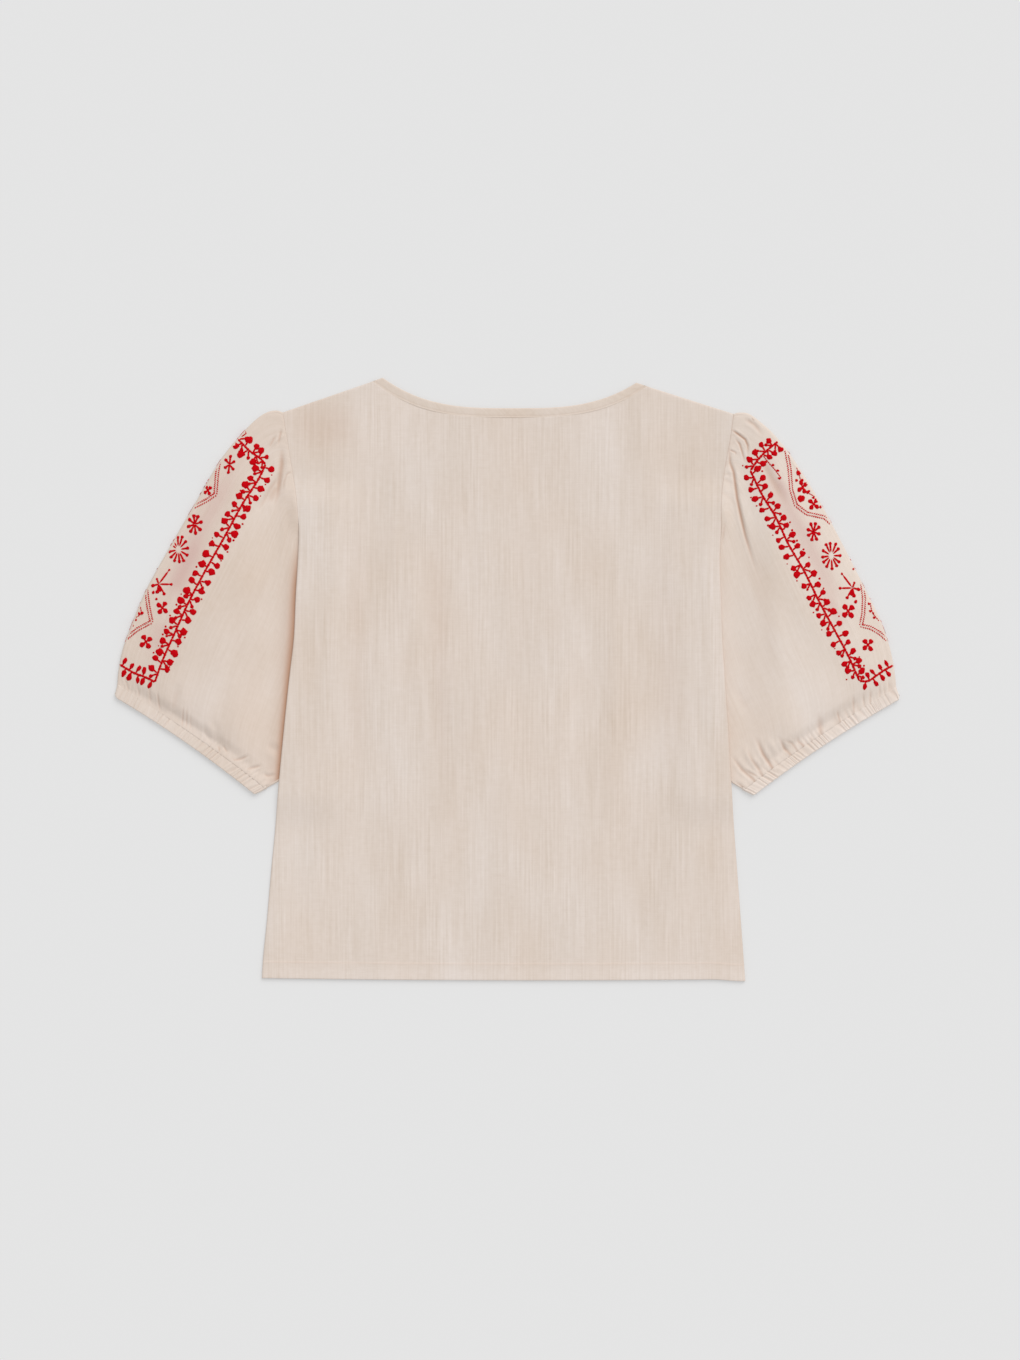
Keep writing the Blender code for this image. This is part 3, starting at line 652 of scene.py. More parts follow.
def neckEdge(share, neck):
    # y = low + rise * |x from the middle|^power, with its own rise to each corner
    low, power = neck
    (leftX, leftY), (rightX, rightY) = body["neckLeft"], body["neckRight"]
    middle = body["neckMiddle"]
    x = leftX + (rightX - leftX) * share
    half = np.where(x < middle, middle - leftX, rightX - middle)
    cornerY = np.where(x < middle, leftY, rightY)
    return np.stack([x, low + (cornerY - low) * (np.abs(x - middle) / half) ** power], axis=-1)


def shoulder(side):
    # The shoulder seam's ends, at the neck and at the sleeve
    corner = np.array(body["neckLeft"] if side < 0 else body["neckRight"])
    tipY = body["shoulderLeft"] if side < 0 else body["shoulderRight"]
    return corner, np.array([float(sideX(body["sides"][0][0], side)), tipY])


def neckSections(share, neck):
    # Points of the neck's edge, and vectors across the binding that turn to the shoulder seams
    edge = neckEdge(share, neck)
    ahead = neckEdge(share + 0.001, neck) - neckEdge(share - 0.001, neck)
    across = np.stack([ahead[:, 1], -ahead[:, 0]], axis=-1)
    across *= binding["width"] / np.linalg.norm(across, axis=1, keepdims=True)
    for side, distance in ((-1, share), (1, 1 - share)):
        part = (1 - ease(distance / binding["mitre"]))[:, None]
        corner, tip = shoulder(side)
        across = across * (1 - part) + (tip - corner) / np.linalg.norm(tip - corner) * binding["end"] * part
    return edge, across


def bindingTop(across, base, wall, share):
    # Outer face of the folded strip: a half round over the neck's edge, a slight fall to the
    # panel, a groove under the topstitching and small puckers along it
    width = binding["width"]
    roundHigh, roundWide = binding["neckSide"]
    slow, sharp, sharpWide = binding["panelSide"]
    depth, wide = binding["grooveShape"]
    neckSide = rounded(across, roundHigh * wall, roundWide * wall)
    panelSide = wall * (slow * ease(across / width) + sharp * ease((across - width) / sharpWide + 1))
    groove = depth * np.exp(-(((across - width + binding["groove"]) / wide) ** 2))
    pucker = np.sin(310 * share + 3 * np.sin(17 * share)) * np.sin(np.pi * across / width)
    return base + wall - neckSide - panelSide - groove + binding["pucker"] * pucker


def makeBinding(name, neck, base, wall, node):
    # The strip's profile, closer at its edges, carried along the neck
    share = np.linspace(0, 1, binding["rows"])
    edge, across = neckSections(share, neck)
    width = binding["width"]
    topAcross = width * (1 - np.cos(np.pi * np.linspace(0, 1, binding["columns"]))) / 2
    underAcross = width * np.array([0.93, 0.5, 0.07])
    profile = np.concatenate([topAcross, underAcross])
    plan = edge[:, None] + across[:, None] * (profile / width)[None, :, None]
    height = bindingTop(profile[None, :], base, wall, share[:, None])
    height[:, len(topAcross):] = base + 0.00005
    sections = np.concatenate([plan, height[:, :, None]], axis=-1)
    uv = np.stack(np.broadcast_arrays(distances(edge)[:, None], profile[None, :]), axis=-1)
    # Painted shade in the groove under the topstitching
    strength, wide = binding["grooveDark"]
    groove = np.exp(-(((profile - width + binding["groove"]) / wide) ** 2))
    dark = strength * np.broadcast_to(groove, height.shape)
    piece = closedStrip(name, sections, uv, bindingCloth, {"paintedshade": dark, "blush": np.zeros_like(dark)})
    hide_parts(node)


# Sleeves

leftFolds = [
    ([(-225.9, 249.3), (-228.4, 237.3), (-229.4, 231.3)], 1.3, -0.7, 0.55),
    ([(-231.9, 242.8), (-235.4, 236.3), (-239.4, 229.3)], 1.2, -0.6, 0.45),
    ([(-223.4, 243.3), (-230.4, 238.3), (-237.4, 232.3)], 1.6, 0.5, 0),
    ([(-225.4, 227.3), (-225.4, 214.3), (-227.9, 197.3), (-230.4, 179.3), (-233.4, 167.3)], 3.0, -1.1, 0.8),
    ([(-228.4, 202.3), (-236.4, 190.3), (-242.4, 179.3), (-251.4, 163.3)], 2.6, -0.8, 0.45),
    ([(-230.4, 193.3), (-235.4, 182.3), (-239.4, 173.3)], 4.5, -0.6, 0.5),
    ([(-214.4, 208.3), (-220.4, 204.3), (-223.4, 196.3), (-224.4, 185.3)], 1.1, -0.5, 0.4),
    ([(-221.4, 209.3), (-222.4, 179.3), (-223.4, 139.3), (-227.4, 79.3)], 5.0, 0.7, 0),
    ([(-214.9, 164.3), (-216.4, 119.3), (-220.4, 59.3), (-224.4, -0.7)], 4.0, 0.5, 0),
    ([(-267.4, 79.3), (-271.4, 29.3), (-278.4, -10.7)], 11, -0.8, 0.12),
    ([(-245.4, 119.3), (-249.4, 59.3), (-254.4, -0.7)], 12, 0.6, 0),
    ([(-347.1, -31.7), (-348.2, -20.7), (-349.2, -8.7)], 1.0, -0.6, 0.5),
    ([(-356.4, -24.7), (-356.9, -10.7), (-357.4, 3.3)], 1.3, -0.45, 0.35),
    ([(-367.4, -18.7), (-368.4, -10.7), (-370.4, -2.7)], 1.2, -0.4, 0.3),
    ([(-378.4, -12.7), (-380.4, -3.7), (-382.4, 5.3)], 1.1, -0.4, 0.3),
    ([(-325.0, -47.7), (-323.6, -34.7), (-322.6, -21.7)], 1.0, -0.5, 0.45),
    ([(-320.8, -49.7), (-319.8, -35.7), (-318.8, -23.7)], 1.0, -0.45, 0.4),
    ([(-316.6, -51.7), (-315.9, -38.7), (-314.9, -28.7)], 1.0, -0.35, 0.3),
    ([(-333.9, -31.7), (-329.9, -14.7), (-327.8, -0.7)], 4.6, -0.8, 0.2),
    ([(-298.4, -61.7), (-301.4, -52.7), (-301.4, -40.7)], 2.4, -0.5, 0.12),
    ([(-288.9, -58.7), (-291.4, -48.7), (-292.4, -36.7)], 3.2, -0.5, 0.10),
    ([(-286.7, -72.2), (-289.5, -65.2)], 1.1, -0.5, 0.5),
    ([(-280.4, -72.7), (-283.9, -65.2)], 1.0, -0.5, 0.45),
    ([(-258.7, -76.4), (-266.4, -79.7), (-272.7, -80.7), (-276.9, -74.7)], 1.3, -0.6, 0.55),
    ([(-246.0, -86.3), (-255.4, -88.7), (-264.4, -91.2)], 1.3, -0.6, 0.5),
    ([(-228.4, -72.7), (-234.4, -68.7), (-239.4, -62.7)], 3.4, -0.8, 0.3),
    ([(-232.4, -95.7), (-239.4, -96.7), (-245.4, -92.7)], 1.6, -0.6, 0.5),
]

rightFolds = [
    ([(224.1, 249.3), (230.6, 244.8), (237.6, 239.3), (240.1, 233.3), (240.6, 219.3)], 1.1, -0.9, 1.25),
    ([(228.6, 239.3), (232.1, 234.8), (234.6, 226.8), (237.6, 214.3)], 1.0, -0.7, 1.05),
    ([(221.6, 229.3), (227.6, 226.8), (229.6, 222.3)], 0.9, -0.5, 0.7),
    ([(221.6, 230.3), (222.6, 216.3), (226.1, 206.8), (229.6, 180.3), (233.6, 161.3), (237.6, 143.3),
      (243.6, 123.3), (251.6, 99.3)], 1.5, -0.9, 1.15),
    ([(229.6, 209.3), (234.6, 179.3), (242.6, 144.3), (252.6, 109.3)], 5.0, 0.8, 0),
    ([(244.0, 265.3), (246.0, 256.3)], 1.0, -0.7, 0.9),
    ([(238.6, 259.3), (246.6, 254.3), (256.6, 242.3)], 2.0, -0.6, 0.45),
    ([(217.4, 156.3), (215.6, 144.3), (214.2, 131.3)], 1.0, -0.35, 0.3),
    ([(255.6, 217.3), (262.6, 201.3), (270.6, 187.3), (280.6, 169.3)], 4.5, -1.0, 0.5),
    ([(240.6, 134.3), (250.6, 94.3), (258.6, 54.3), (259.6, 11.3), (258.6, -15.7)], 10, -0.6, 0.07),
    ([(278.6, 119.3), (292.6, 69.3), (304.6, 29.3)], 14, 0.7, 0),
    ([(228.6, -10.7), (234.6, -22.7), (241.6, -35.7)], 5.5, -0.4, 0.10),
    ([(332.9, -44.7), (330.6, -36.7), (328.6, -28.7)], 1.2, -0.6, 0.6),
    ([(346.2, -34.7), (345.4, -23.7), (344.6, -13.7)], 1.2, -0.6, 0.5),
    ([(362.6, -26.7), (362.6, -17.7), (362.6, -8.7)], 1.1, -0.5, 0.45),
    ([(356.6, -28.7), (355.6, -20.7), (354.6, -10.7)], 1.0, -0.35, 0.3),
    ([(372.1, -21.7), (371.6, -12.7), (371.6, -1.7)], 1.0, -0.4, 0.3),
    ([(381.6, -15.7), (381.1, -8.7), (380.6, 0.3)], 1.0, -0.35, 0.3),
    ([(318.2, -63.7), (313.4, -55.4), (311.9, -42.7), (309.6, -32.7)], 3.0, -0.9, 0.5),
    ([(304.1, -75.7), (296.4, -66.7), (290.9, -62.4), (288.0, -54.7)], 1.5, -0.8, 0.7),
    ([(289.4, -84.7), (283.9, -76.4), (276.9, -69.4), (269.1, -53.7)], 1.6, -0.8, 0.65),
    ([(296.4, -80.7), (290.9, -72.2), (283.9, -63.7), (272.6, -59.7)], 1.3, -0.6, 0.5),
    ([(270.5, -96.7), (262.9, -85.7), (255.6, -75.0), (246.6, -53.7)], 1.8, -1.0, 0.85),
    ([(258.6, -102.7), (251.6, -90.5), (244.6, -80.7), (237.6, -65.7)], 1.6, -0.8, 0.55),
    ([(254.4, -109.7), (244.6, -98.9), (234.6, -90.5), (226.6, -79.7), (221.6, -70.7)], 1.7, -0.9, 0.65),
    ([(249.6, -96.7), (242.6, -93.7), (236.6, -88.7)], 1.3, -0.5, 0.5),
    ([(241.6, -116.7), (234.6, -108.7), (224.2, -101.7)], 2.6, -1.2, 0.9),
    ([(329.6, -69.7), (326.6, -62.7), (324.6, -55.7)], 1.2, -0.5, 0.4),
    ([(342.6, -58.7), (339.6, -50.7), (337.6, -42.7)], 1.1, -0.4, 0.35),
    ([(310.6, -69.7), (304.6, -61.7), (300.6, -53.7)], 1.4, -0.5, 0.4),
    ([(270.6, -77.7), (264.6, -66.7), (257.6, -55.7)], 3.2, 0.8, 0),
    ([(249.6, -86.7), (240.6, -76.7), (234.6, -62.7)], 3.0, 0.8, 0),
    ([(292.6, -72.7), (284.6, -65.7), (280.6, -58.7)], 2.6, 0.6, 0),
    ([(328.6, -60.7), (323.6, -52.7), (320.6, -42.7)], 3.4, 0.7, 0),
]

sleeves = {
    "left": {
        "side": -1,
        "sections": [  # outer fold x, y; inner fold x, y
            (-0.2249, 0.2668, -0.1940, 0.1180),
            (-0.2310, 0.2686, -0.1938, 0.1120),
            (-0.2405, 0.2666, -0.1936, 0.1050),
            (-0.2515, 0.2592, -0.1934, 0.0965),
            (-0.2660, 0.2445, -0.1932, 0.0860),
            (-0.2864, 0.2193, -0.1932, 0.0680),
            (-0.3100, 0.1790, -0.1935, 0.0350),
            (-0.3340, 0.1375, -0.1945, -0.0030),
            (-0.3600, 0.0910, -0.1965, -0.0380),
            (-0.3754, 0.0545, -0.2010, -0.0660),
            (-0.3845, 0.0290, -0.2110, -0.0870),
            (-0.3886, 0.0080, -0.2240, -0.0990),
            (-0.3898, -0.0057, -0.2404, -0.1085),
        ],
        "cuff": [(-0.3899, -0.0062, -0.2407, -0.1089), (-0.3927, -0.0175, -0.2510, -0.1164)],
        "folds": leftFolds,
        "shadowBesideBody": (0.0042, 0.85),  # width and strength of the painted shadow that the body's side casts along it
        "headGather": 0.00020,  # height of the gathers along the armhole
        # painted shade along the armhole's seam, and evenly over the whole sleeve
        "seamShade": 0.04,
        "evenShade": 0.052,
        "light": (0.0, 0.036),  # painted light over the whole sleeve, and added towards the cuff
        "cuffGather": 0.58,  # share of the cuff's full gathers
        "cuffLight": (0.0, 0.0),  # painted light over the whole cuff, and added towards its lower edge
        "berrySize": 1.04,
        "vineTopMm": [(-270.4, 241.3), (-256.4, 227.3), (-245.4, 219.3), (-241.4, 214.3)],
        "vineMm": [(-241.4, 214.3), (-246.7, 202.8), (-263.6, 175.3), (-281.9, 141.6),
                   (-301.8, 106.3), (-317.1, 77.3), (-333.9, 40.3), (-342.9, 20.3), (-351.4, -2.7)],
        "vineEndMm": [(-351.4, -2.7), (-361.4, 2.3), (-372.4, 6.3), (-379.4, 10.3), (-388.0, 15.3)],
        "chainsMm": [
            [(-287.4, 219.3), (-289.6, 205.8), (-291.1, 184.4), (-300.2, 178.3), (-315.6, 170.7),
             (-320.4, 164.3)],
            [(-360.4, 89.3), (-358.4, 74.3), (-354.9, 57.3), (-369.1, 49.8), (-382.4, 39.3)],
        ],
        "sprigsMm": [[(-366.8, 76.3), (-366.1, 65.1), (-372.2, 60.5), (-377.4, 50.3)]],
        "pinkMm": [([(-268.4, 214.3), (-286.4, 183.3), (-302.4, 154.3), (-314.4, 128.3), (-326.4, 99.3),
                     (-338.4, 76.3), (-348.4, 41.3)], 12, 0, 0.75),
                   ([(-336.4, 82.3), (-327.4, 99.3), (-314.4, 125.3), (-305.4, 149.3), (-299.4, 168.3)],
                    13, 0, 1.25),
                   ([(-352.4, 26.3), (-346.4, 46.3), (-338.4, 66.3)], 12, 0, 0.8)],
        "seed": 11,
    },
    "right": {
        "side": 1,
        "sections": [
            (0.2267, 0.2652, 0.1960, 0.1180),
            (0.2315, 0.2665, 0.1958, 0.1120),
            (0.2410, 0.2654, 0.1956, 0.1050),
            (0.2520, 0.2577, 0.1954, 0.0965),
            (0.2660, 0.2450, 0.1952, 0.0860),
            (0.2847, 0.2213, 0.1952, 0.0680),
            (0.3105, 0.1800, 0.1954, 0.0350),
            (0.3337, 0.1370, 0.1960, -0.0030),
            (0.3590, 0.0868, 0.1972, -0.0380),
            (0.3734, 0.0573, 0.2010, -0.0670),
            (0.3820, 0.0315, 0.2090, -0.0880),
            (0.3868, 0.0080, 0.2200, -0.1000),
            (0.3886, -0.0080, 0.2347, -0.1099),
        ],
        "cuff": [(0.3887, -0.0085, 0.2350, -0.1103), (0.3927, -0.0197, 0.2447, -0.1173)],
        "folds": rightFolds,
        "shadowBesideBody": (0.0100, 0.055),
        "headGather": 0.00034,
        "seamShade": 0.11,
        "evenShade": 0.0,
        "light": (0.042, 0.024),
        "cuffGather": 0.74,
        "cuffLight": (0.028, 0.050),
        "berrySize": 0.93,
        "vineTopMm": [(270.1, 237.3), (263.1, 231.9), (256.2, 225.8), (249.6, 218.3), (242.6, 208.3)],
        "vineMm": [(242.6, 208.3), (253.9, 184.3), (267.6, 161.3), (279.6, 135.3), (295.2, 108.3),
                   (310.6, 77.3), (324.6, 51.3), (339.6, 23.3), (351.1, -1.7)],
        "vineEndMm": [(351.1, -1.7), (359.6, -1.7), (367.6, 3.3), (376.6, 9.3), (386.2, 14.3)],
        "chainsMm": [
            [(278.6, 227.3), (281.5, 210.4), (283.0, 189.0), (287.6, 173.7), (298.4, 165.3),
             (305.9, 163.8), (316.6, 161.5), (323.6, 155.3)],
            [(354.1, 96.3), (355.8, 80.4), (354.9, 65.1), (352.6, 53.6), (362.6, 51.3), (371.8, 45.9),
             (380.6, 38.3)],
        ],
        "sprigsMm": [
            [(361.9, 80.3), (364.1, 67.3), (371.6, 57.3), (378.6, 47.3)],
            [(256.2, 221.9), (260.9, 215.8), (266.2, 209.7), (272.4, 201.3)],
            [(289.1, 210.4), (298.4, 187.5), (308.2, 181.4)],
        ],
        "pinkMm": [([(258.6, 212.3), (270.6, 191.3), (281.6, 168.3), (300.6, 133.3), (318.6, 96.3),
                     (334.6, 57.3), (347.6, 36.3)], 11, 0, 0.8),
                   ([(268.6, 201.3), (275.6, 187.3), (283.6, 170.3)], 7, 0, 1.0),
                   ([(316.6, 87.3), (326.6, 67.3), (338.6, 46.3)], 8, 0, 0.8)],
        "seed": 23,
    },
    "shared": {
        "profile": [  # crown, and radius of the outer fold, for each section
            (0.0000, 0.00150), (0.0020, 0.00180), (0.0036, 0.00220), (0.0050, 0.00260), (0.0062, 0.00300),
            (0.0074, 0.00330), (0.0082, 0.00350), (0.0086, 0.00350), (0.0086, 0.00350), (0.0082, 0.00330),
            (0.0072, 0.00300), (0.0048, 0.00250), (0.0020, 0.00210),
        ],
        "length": 0.180,
        "tucked": 0.0030,  # height of the inner fold, below the body
        "rows": 132,
        "evenRows": 0.35,  # the other rows crowd to both ends
        "topColumns": 210,
        "underColumns": 34,
        "foldColumns": 9,
        "crowding": 1.25,  # above 1 crowds the columns towards the outer fold
        "pathPoints": 121,
        "corner": 0.53,  # where the sections' bend lies between the folds
        "bendReach": 0.5,  # share of the sleeve over which the sections straighten
        "seamLeaves": (0.136, 0.166),  # y between which the sleeve's edge goes in below the body
        "seamReach": 0.3,  # share of the sleeve over which its columns leave the armhole
        "cuffReach": 0.15,  # share of the sleeve that is bowed with the cuff
        "foldFades": 0.6,  # share of the top over which the outer fold's height fades
        "puffStarts": 0.010,  # distance from the body, and how far the puff rises from it
        "puffRise": 0.050,
        "puffEdge": 0.070,  # how far the puff rises from the outer fold
        "puffEnds": (0.90, 0.10),  # it falls to the cuff from here, over this share of the sleeve
        "levelEnds": (0.965, 0.032),  # folds and drape fade here
        "meetEnds": (0.955, 0.045),  # the top comes to the cuff's height here
        "clearOver": 0.004,  # folds begin over this distance from the body
        "drape": 0.0005,  # height of the slow waves
        "headReach": 0.011,  # how far the head's gathers reach
        "underGather": 0.35,  # the underside's share of the cuff's gathers
        "underLift": 0.0007,  # keeps the stitches below the sleeve clear of the table
        "armholeRoll": (0.0004, 0.0010),  # depth and width of the roll at the armhole's seam
        "armholeReach": 0.014,  # how far the body's lift raises the sleeve
        "sewnHeight": 0.0024,  # where the armhole's edge goes in below the back
        "seamLine": 0.0009,  # half width of the seam's painted shade line
        # painted shade in the gathers' valleys
        "valleyDark": 0.22,
        "shadowStripWider": (0.4, 0.045, 0.05),  # how much wider the painted shadow beside the body is, where, half width
        "shadowStripTop": (0.150, 0.060),  # where it ends, and over what distance it fades
        "shadowStripBottom": (-0.112, 0.012),
        "lightBelow": (0.03, 0.06),  # y where the painted light towards the cuff begins, and its reach
        "cut": ((0.440, 0.330), 0.120),
    },
}


def sectionPaths(outer, inner, bend):
    # Quadratic curves from the outer fold to the inner one, bent towards a corner, and how far
    # along each of its points lies
    cornerX = outer[:, 0] + sleeves["shared"]["corner"] * (inner - outer)[:, 0]
    corner = np.stack([cornerX, inner[:, 1]], axis=-1)
    middle = (outer + inner) / 2
    control = middle + (corner - middle) * bend[:, None]
    part = np.linspace(0, 1, sleeves["shared"]["pathPoints"])[None, :, None]
    start, turn, end = outer[:, None, :], control[:, None, :], inner[:, None, :]
    paths = start * (1 - part) ** 2 + turn * 2 * part * (1 - part) + end * part**2
    steps = np.linalg.norm(np.diff(paths, axis=1), axis=2)
    return paths, np.hstack([np.zeros((len(outer), 1)), np.cumsum(steps, axis=1)])


def alongPaths(paths, travelled, distance):
    # Each row's points at their distances along the row's own path
    return np.stack([alongPath(*row) for row in zip(distance, travelled, paths)])


def tubeSection(length, fold, innerFold, topShare, underCount, foldCount):
    # One flattened ring: half a circle round the outer fold, the top, half a circle round the
    # inner fold and back along the flat underside. Returns distance across, height, and which
    # columns are the top and which the underside.
    turn = np.linspace(-np.pi / 2, np.pi / 2, foldCount)
    outerRound = fold * (1 - np.cos(turn)), fold * (1 + np.sin(turn))
    back = turn[::-1]
    innerRound = length - innerFold * (1 - np.cos(back)), innerFold * (1 + np.sin(back))
    top = fold + (length - fold - innerFold) * topShare
    fades = 1 - ease(topShare / sleeves["shared"]["foldFades"])
    topHeight = 2 * innerFold + 2 * (fold - innerFold) * fades
    underShare = np.linspace(1, 0, underCount + 2)[1:-1]
    under = fold + (length - fold - innerFold) * underShare
    distance = np.hstack([outerRound[0], top, innerRound[0], under])
    height = np.hstack([outerRound[1], topHeight, innerRound[1], np.zeros_like(under)])
    part = np.repeat(["fold", "top", "fold", "under"], [foldCount, len(topShare), foldCount, underCount])
    return distance, height, 1.0 * (part == "top"), 1.0 * (part == "under")


def tubeGrain(distance, length, under, along):
    # Distance round the tube, which counts on along the underside, and distance along it
    around = np.where(under > 0, 2 * length - distance, distance)
    around = np.hstack([around, 2 * length - distance[:, :1]])
    return np.stack([around, np.broadcast_to(along, around.shape)], axis=-1)


def carried(values, before, after):
    # The first and last rows again for the rows that run on
    return np.concatenate([values[:1]] * before + [values] + [values[-1:]] * after)


def makeTube(kind, which, grid, uv, masks, material):
    # A sleeve or cuff as one closed surface with its wall
    piece = gridMesh(kind + which.capitalize(), grid, uv, masks, material, True, sleeves[which]["side"] > 0)
    giveWall(piece, body["cloth"])
    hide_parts(kind + "_" + which)


def bowed(direction, share, side):
    # The parabola by which elastic draws up the middle of an edge
    upwards = np.stack([-direction[:, :, 1], direction[:, :, 0]], axis=-1) * -side
    return upwards * (cuffs["bow"] * 4 * share * (1 - share))[:, :, None]


def gatherRidges(share, depth, seed, strength):
    # Uneven gathers: a cosine whose phase wanders, drawn flat at its top, of uneven height, with
    # finer creases on it. The sines' own numbers only keep the gathers from repeating. Returns
    # the height, and how dark the valleys lie as painted shade.
    wander = 0.017 * np.sin(14.5 * share + seed) + 0.011 * np.sin(33 * share + 2 * seed)
    wander = wander + 0.004 * np.sin(91 * share)
    phase = 2 * np.pi * (cuffs["gathers"] * (share + wander) + cuffs["slant"] * depth)
    ridge = (0.5 + 0.5 * np.cos(phase)) ** 0.65
    size = 0.58 + 0.28 * np.sin(23 * share + 1.7 * seed) + 0.14 * np.sin(61 * share + seed)
    fine = 0.5 + 0.5 * np.cos(2.0 * phase + 4 * np.sin(19 * share + seed))
    fineShare = (0.6 + 0.4 * np.sin(37 * share + 2 * seed)) * (0.25 + 0.75 * ease(depth / 0.3))
    height = cuffs["gatherHeight"] * size * (2 * ridge - 1)
    height = height + cuffs["fineHeight"] * fineShare * (2 * fine - 1)
    return height * strength, strength * (size * (1 - ridge) ** 3 + 0.4 * fineShare * (1 - fine) ** 4)


def finer(values, times):
    # Values between the points of a grid, by straight lines along both of its directions
    for axis in (0, 1):
        count = values.shape[axis]
        at = np.linspace(0, count - 1, (count - 1) * times + 1)
        low = np.minimum(at.astype(int), count - 2)
        part = (at - low).reshape([-1 if k == axis else 1 for k in range(values.ndim)])
        values = np.take(values, low, axis) * (1 - part) + np.take(values, low + 1, axis) * part
    return values


raster = {
    "cell": 0.001,
    "finer": 4,  # so many times the surface's own points, so that few squares stay empty
    "margin": 4,  # empty squares all round
    "rounds": 12,  # in which empty squares are filled from their neighbours
}


def heightMap(plan, height):
    # Mean height of a dense set of surface points in each square of a raster; empty squares
    # take the mean of their filled neighbours
    cell = raster["cell"]
    plan, height = finer(plan, raster["finer"]).reshape(-1, 2), finer(height, raster["finer"]).ravel()
    low = plan.min(0) - raster["margin"] * cell
    size = ((plan.max(0) - low) / cell).astype(int) + raster["margin"] + 2
    index = ((plan - low) / cell + 0.5).astype(int)
    flat = index[:, 0] * size[1] + index[:, 1]
    count = np.bincount(flat, minlength=size[0] * size[1]).reshape(size)
    total = np.bincount(flat, height, minlength=size[0] * size[1]).reshape(size)
    filled = count > 0
    values = np.where(filled, total / np.maximum(count, 1), 0)
    ways = [(1, 0), (-1, 0), (1, 1), (-1, 1)]
    for _ in range(raster["rounds"]):
        near = [np.roll(filled, *way) for way in ways]
        number = sum(beside.astype(int) for beside in near)
        around = sum(beside * np.roll(values, *way) for beside, way in zip(near, ways)) / np.maximum(number, 1)
        grown = ~filled & (number > 0)
        values = np.where(grown, around, values)
        filled = filled | grown
    return {"low": low, "values": values}


def mapHeight(field, plan):
    # Height at points of the plan, bilinear between the raster's squares
    values = field["values"]
    place = np.clip((plan - field["low"]) / raster["cell"], 0, np.array(values.shape) - 1.001)
    low = place.astype(int)
    (x, y), (partX, partY) = low.T, (place - low).T
    near = values[x, y] * (1 - partX) + values[x + 1, y] * partX
    far = values[x, y + 1] * (1 - partX) + values[x + 1, y + 1] * partX
    return near * (1 - partY) + far * partY


def tuckedRows(row, along):
    # Copies of an end section, moved on along the tube and drawn towards its middle height
    middle = cuffs["height"] / 2
    plan, z = row[:, :, :2], row[:, :, 2:] - middle
    return [np.concatenate([plan + along * reach, middle + flat * z], axis=-1)
            for reach, flat in cuffs["tucked"]]


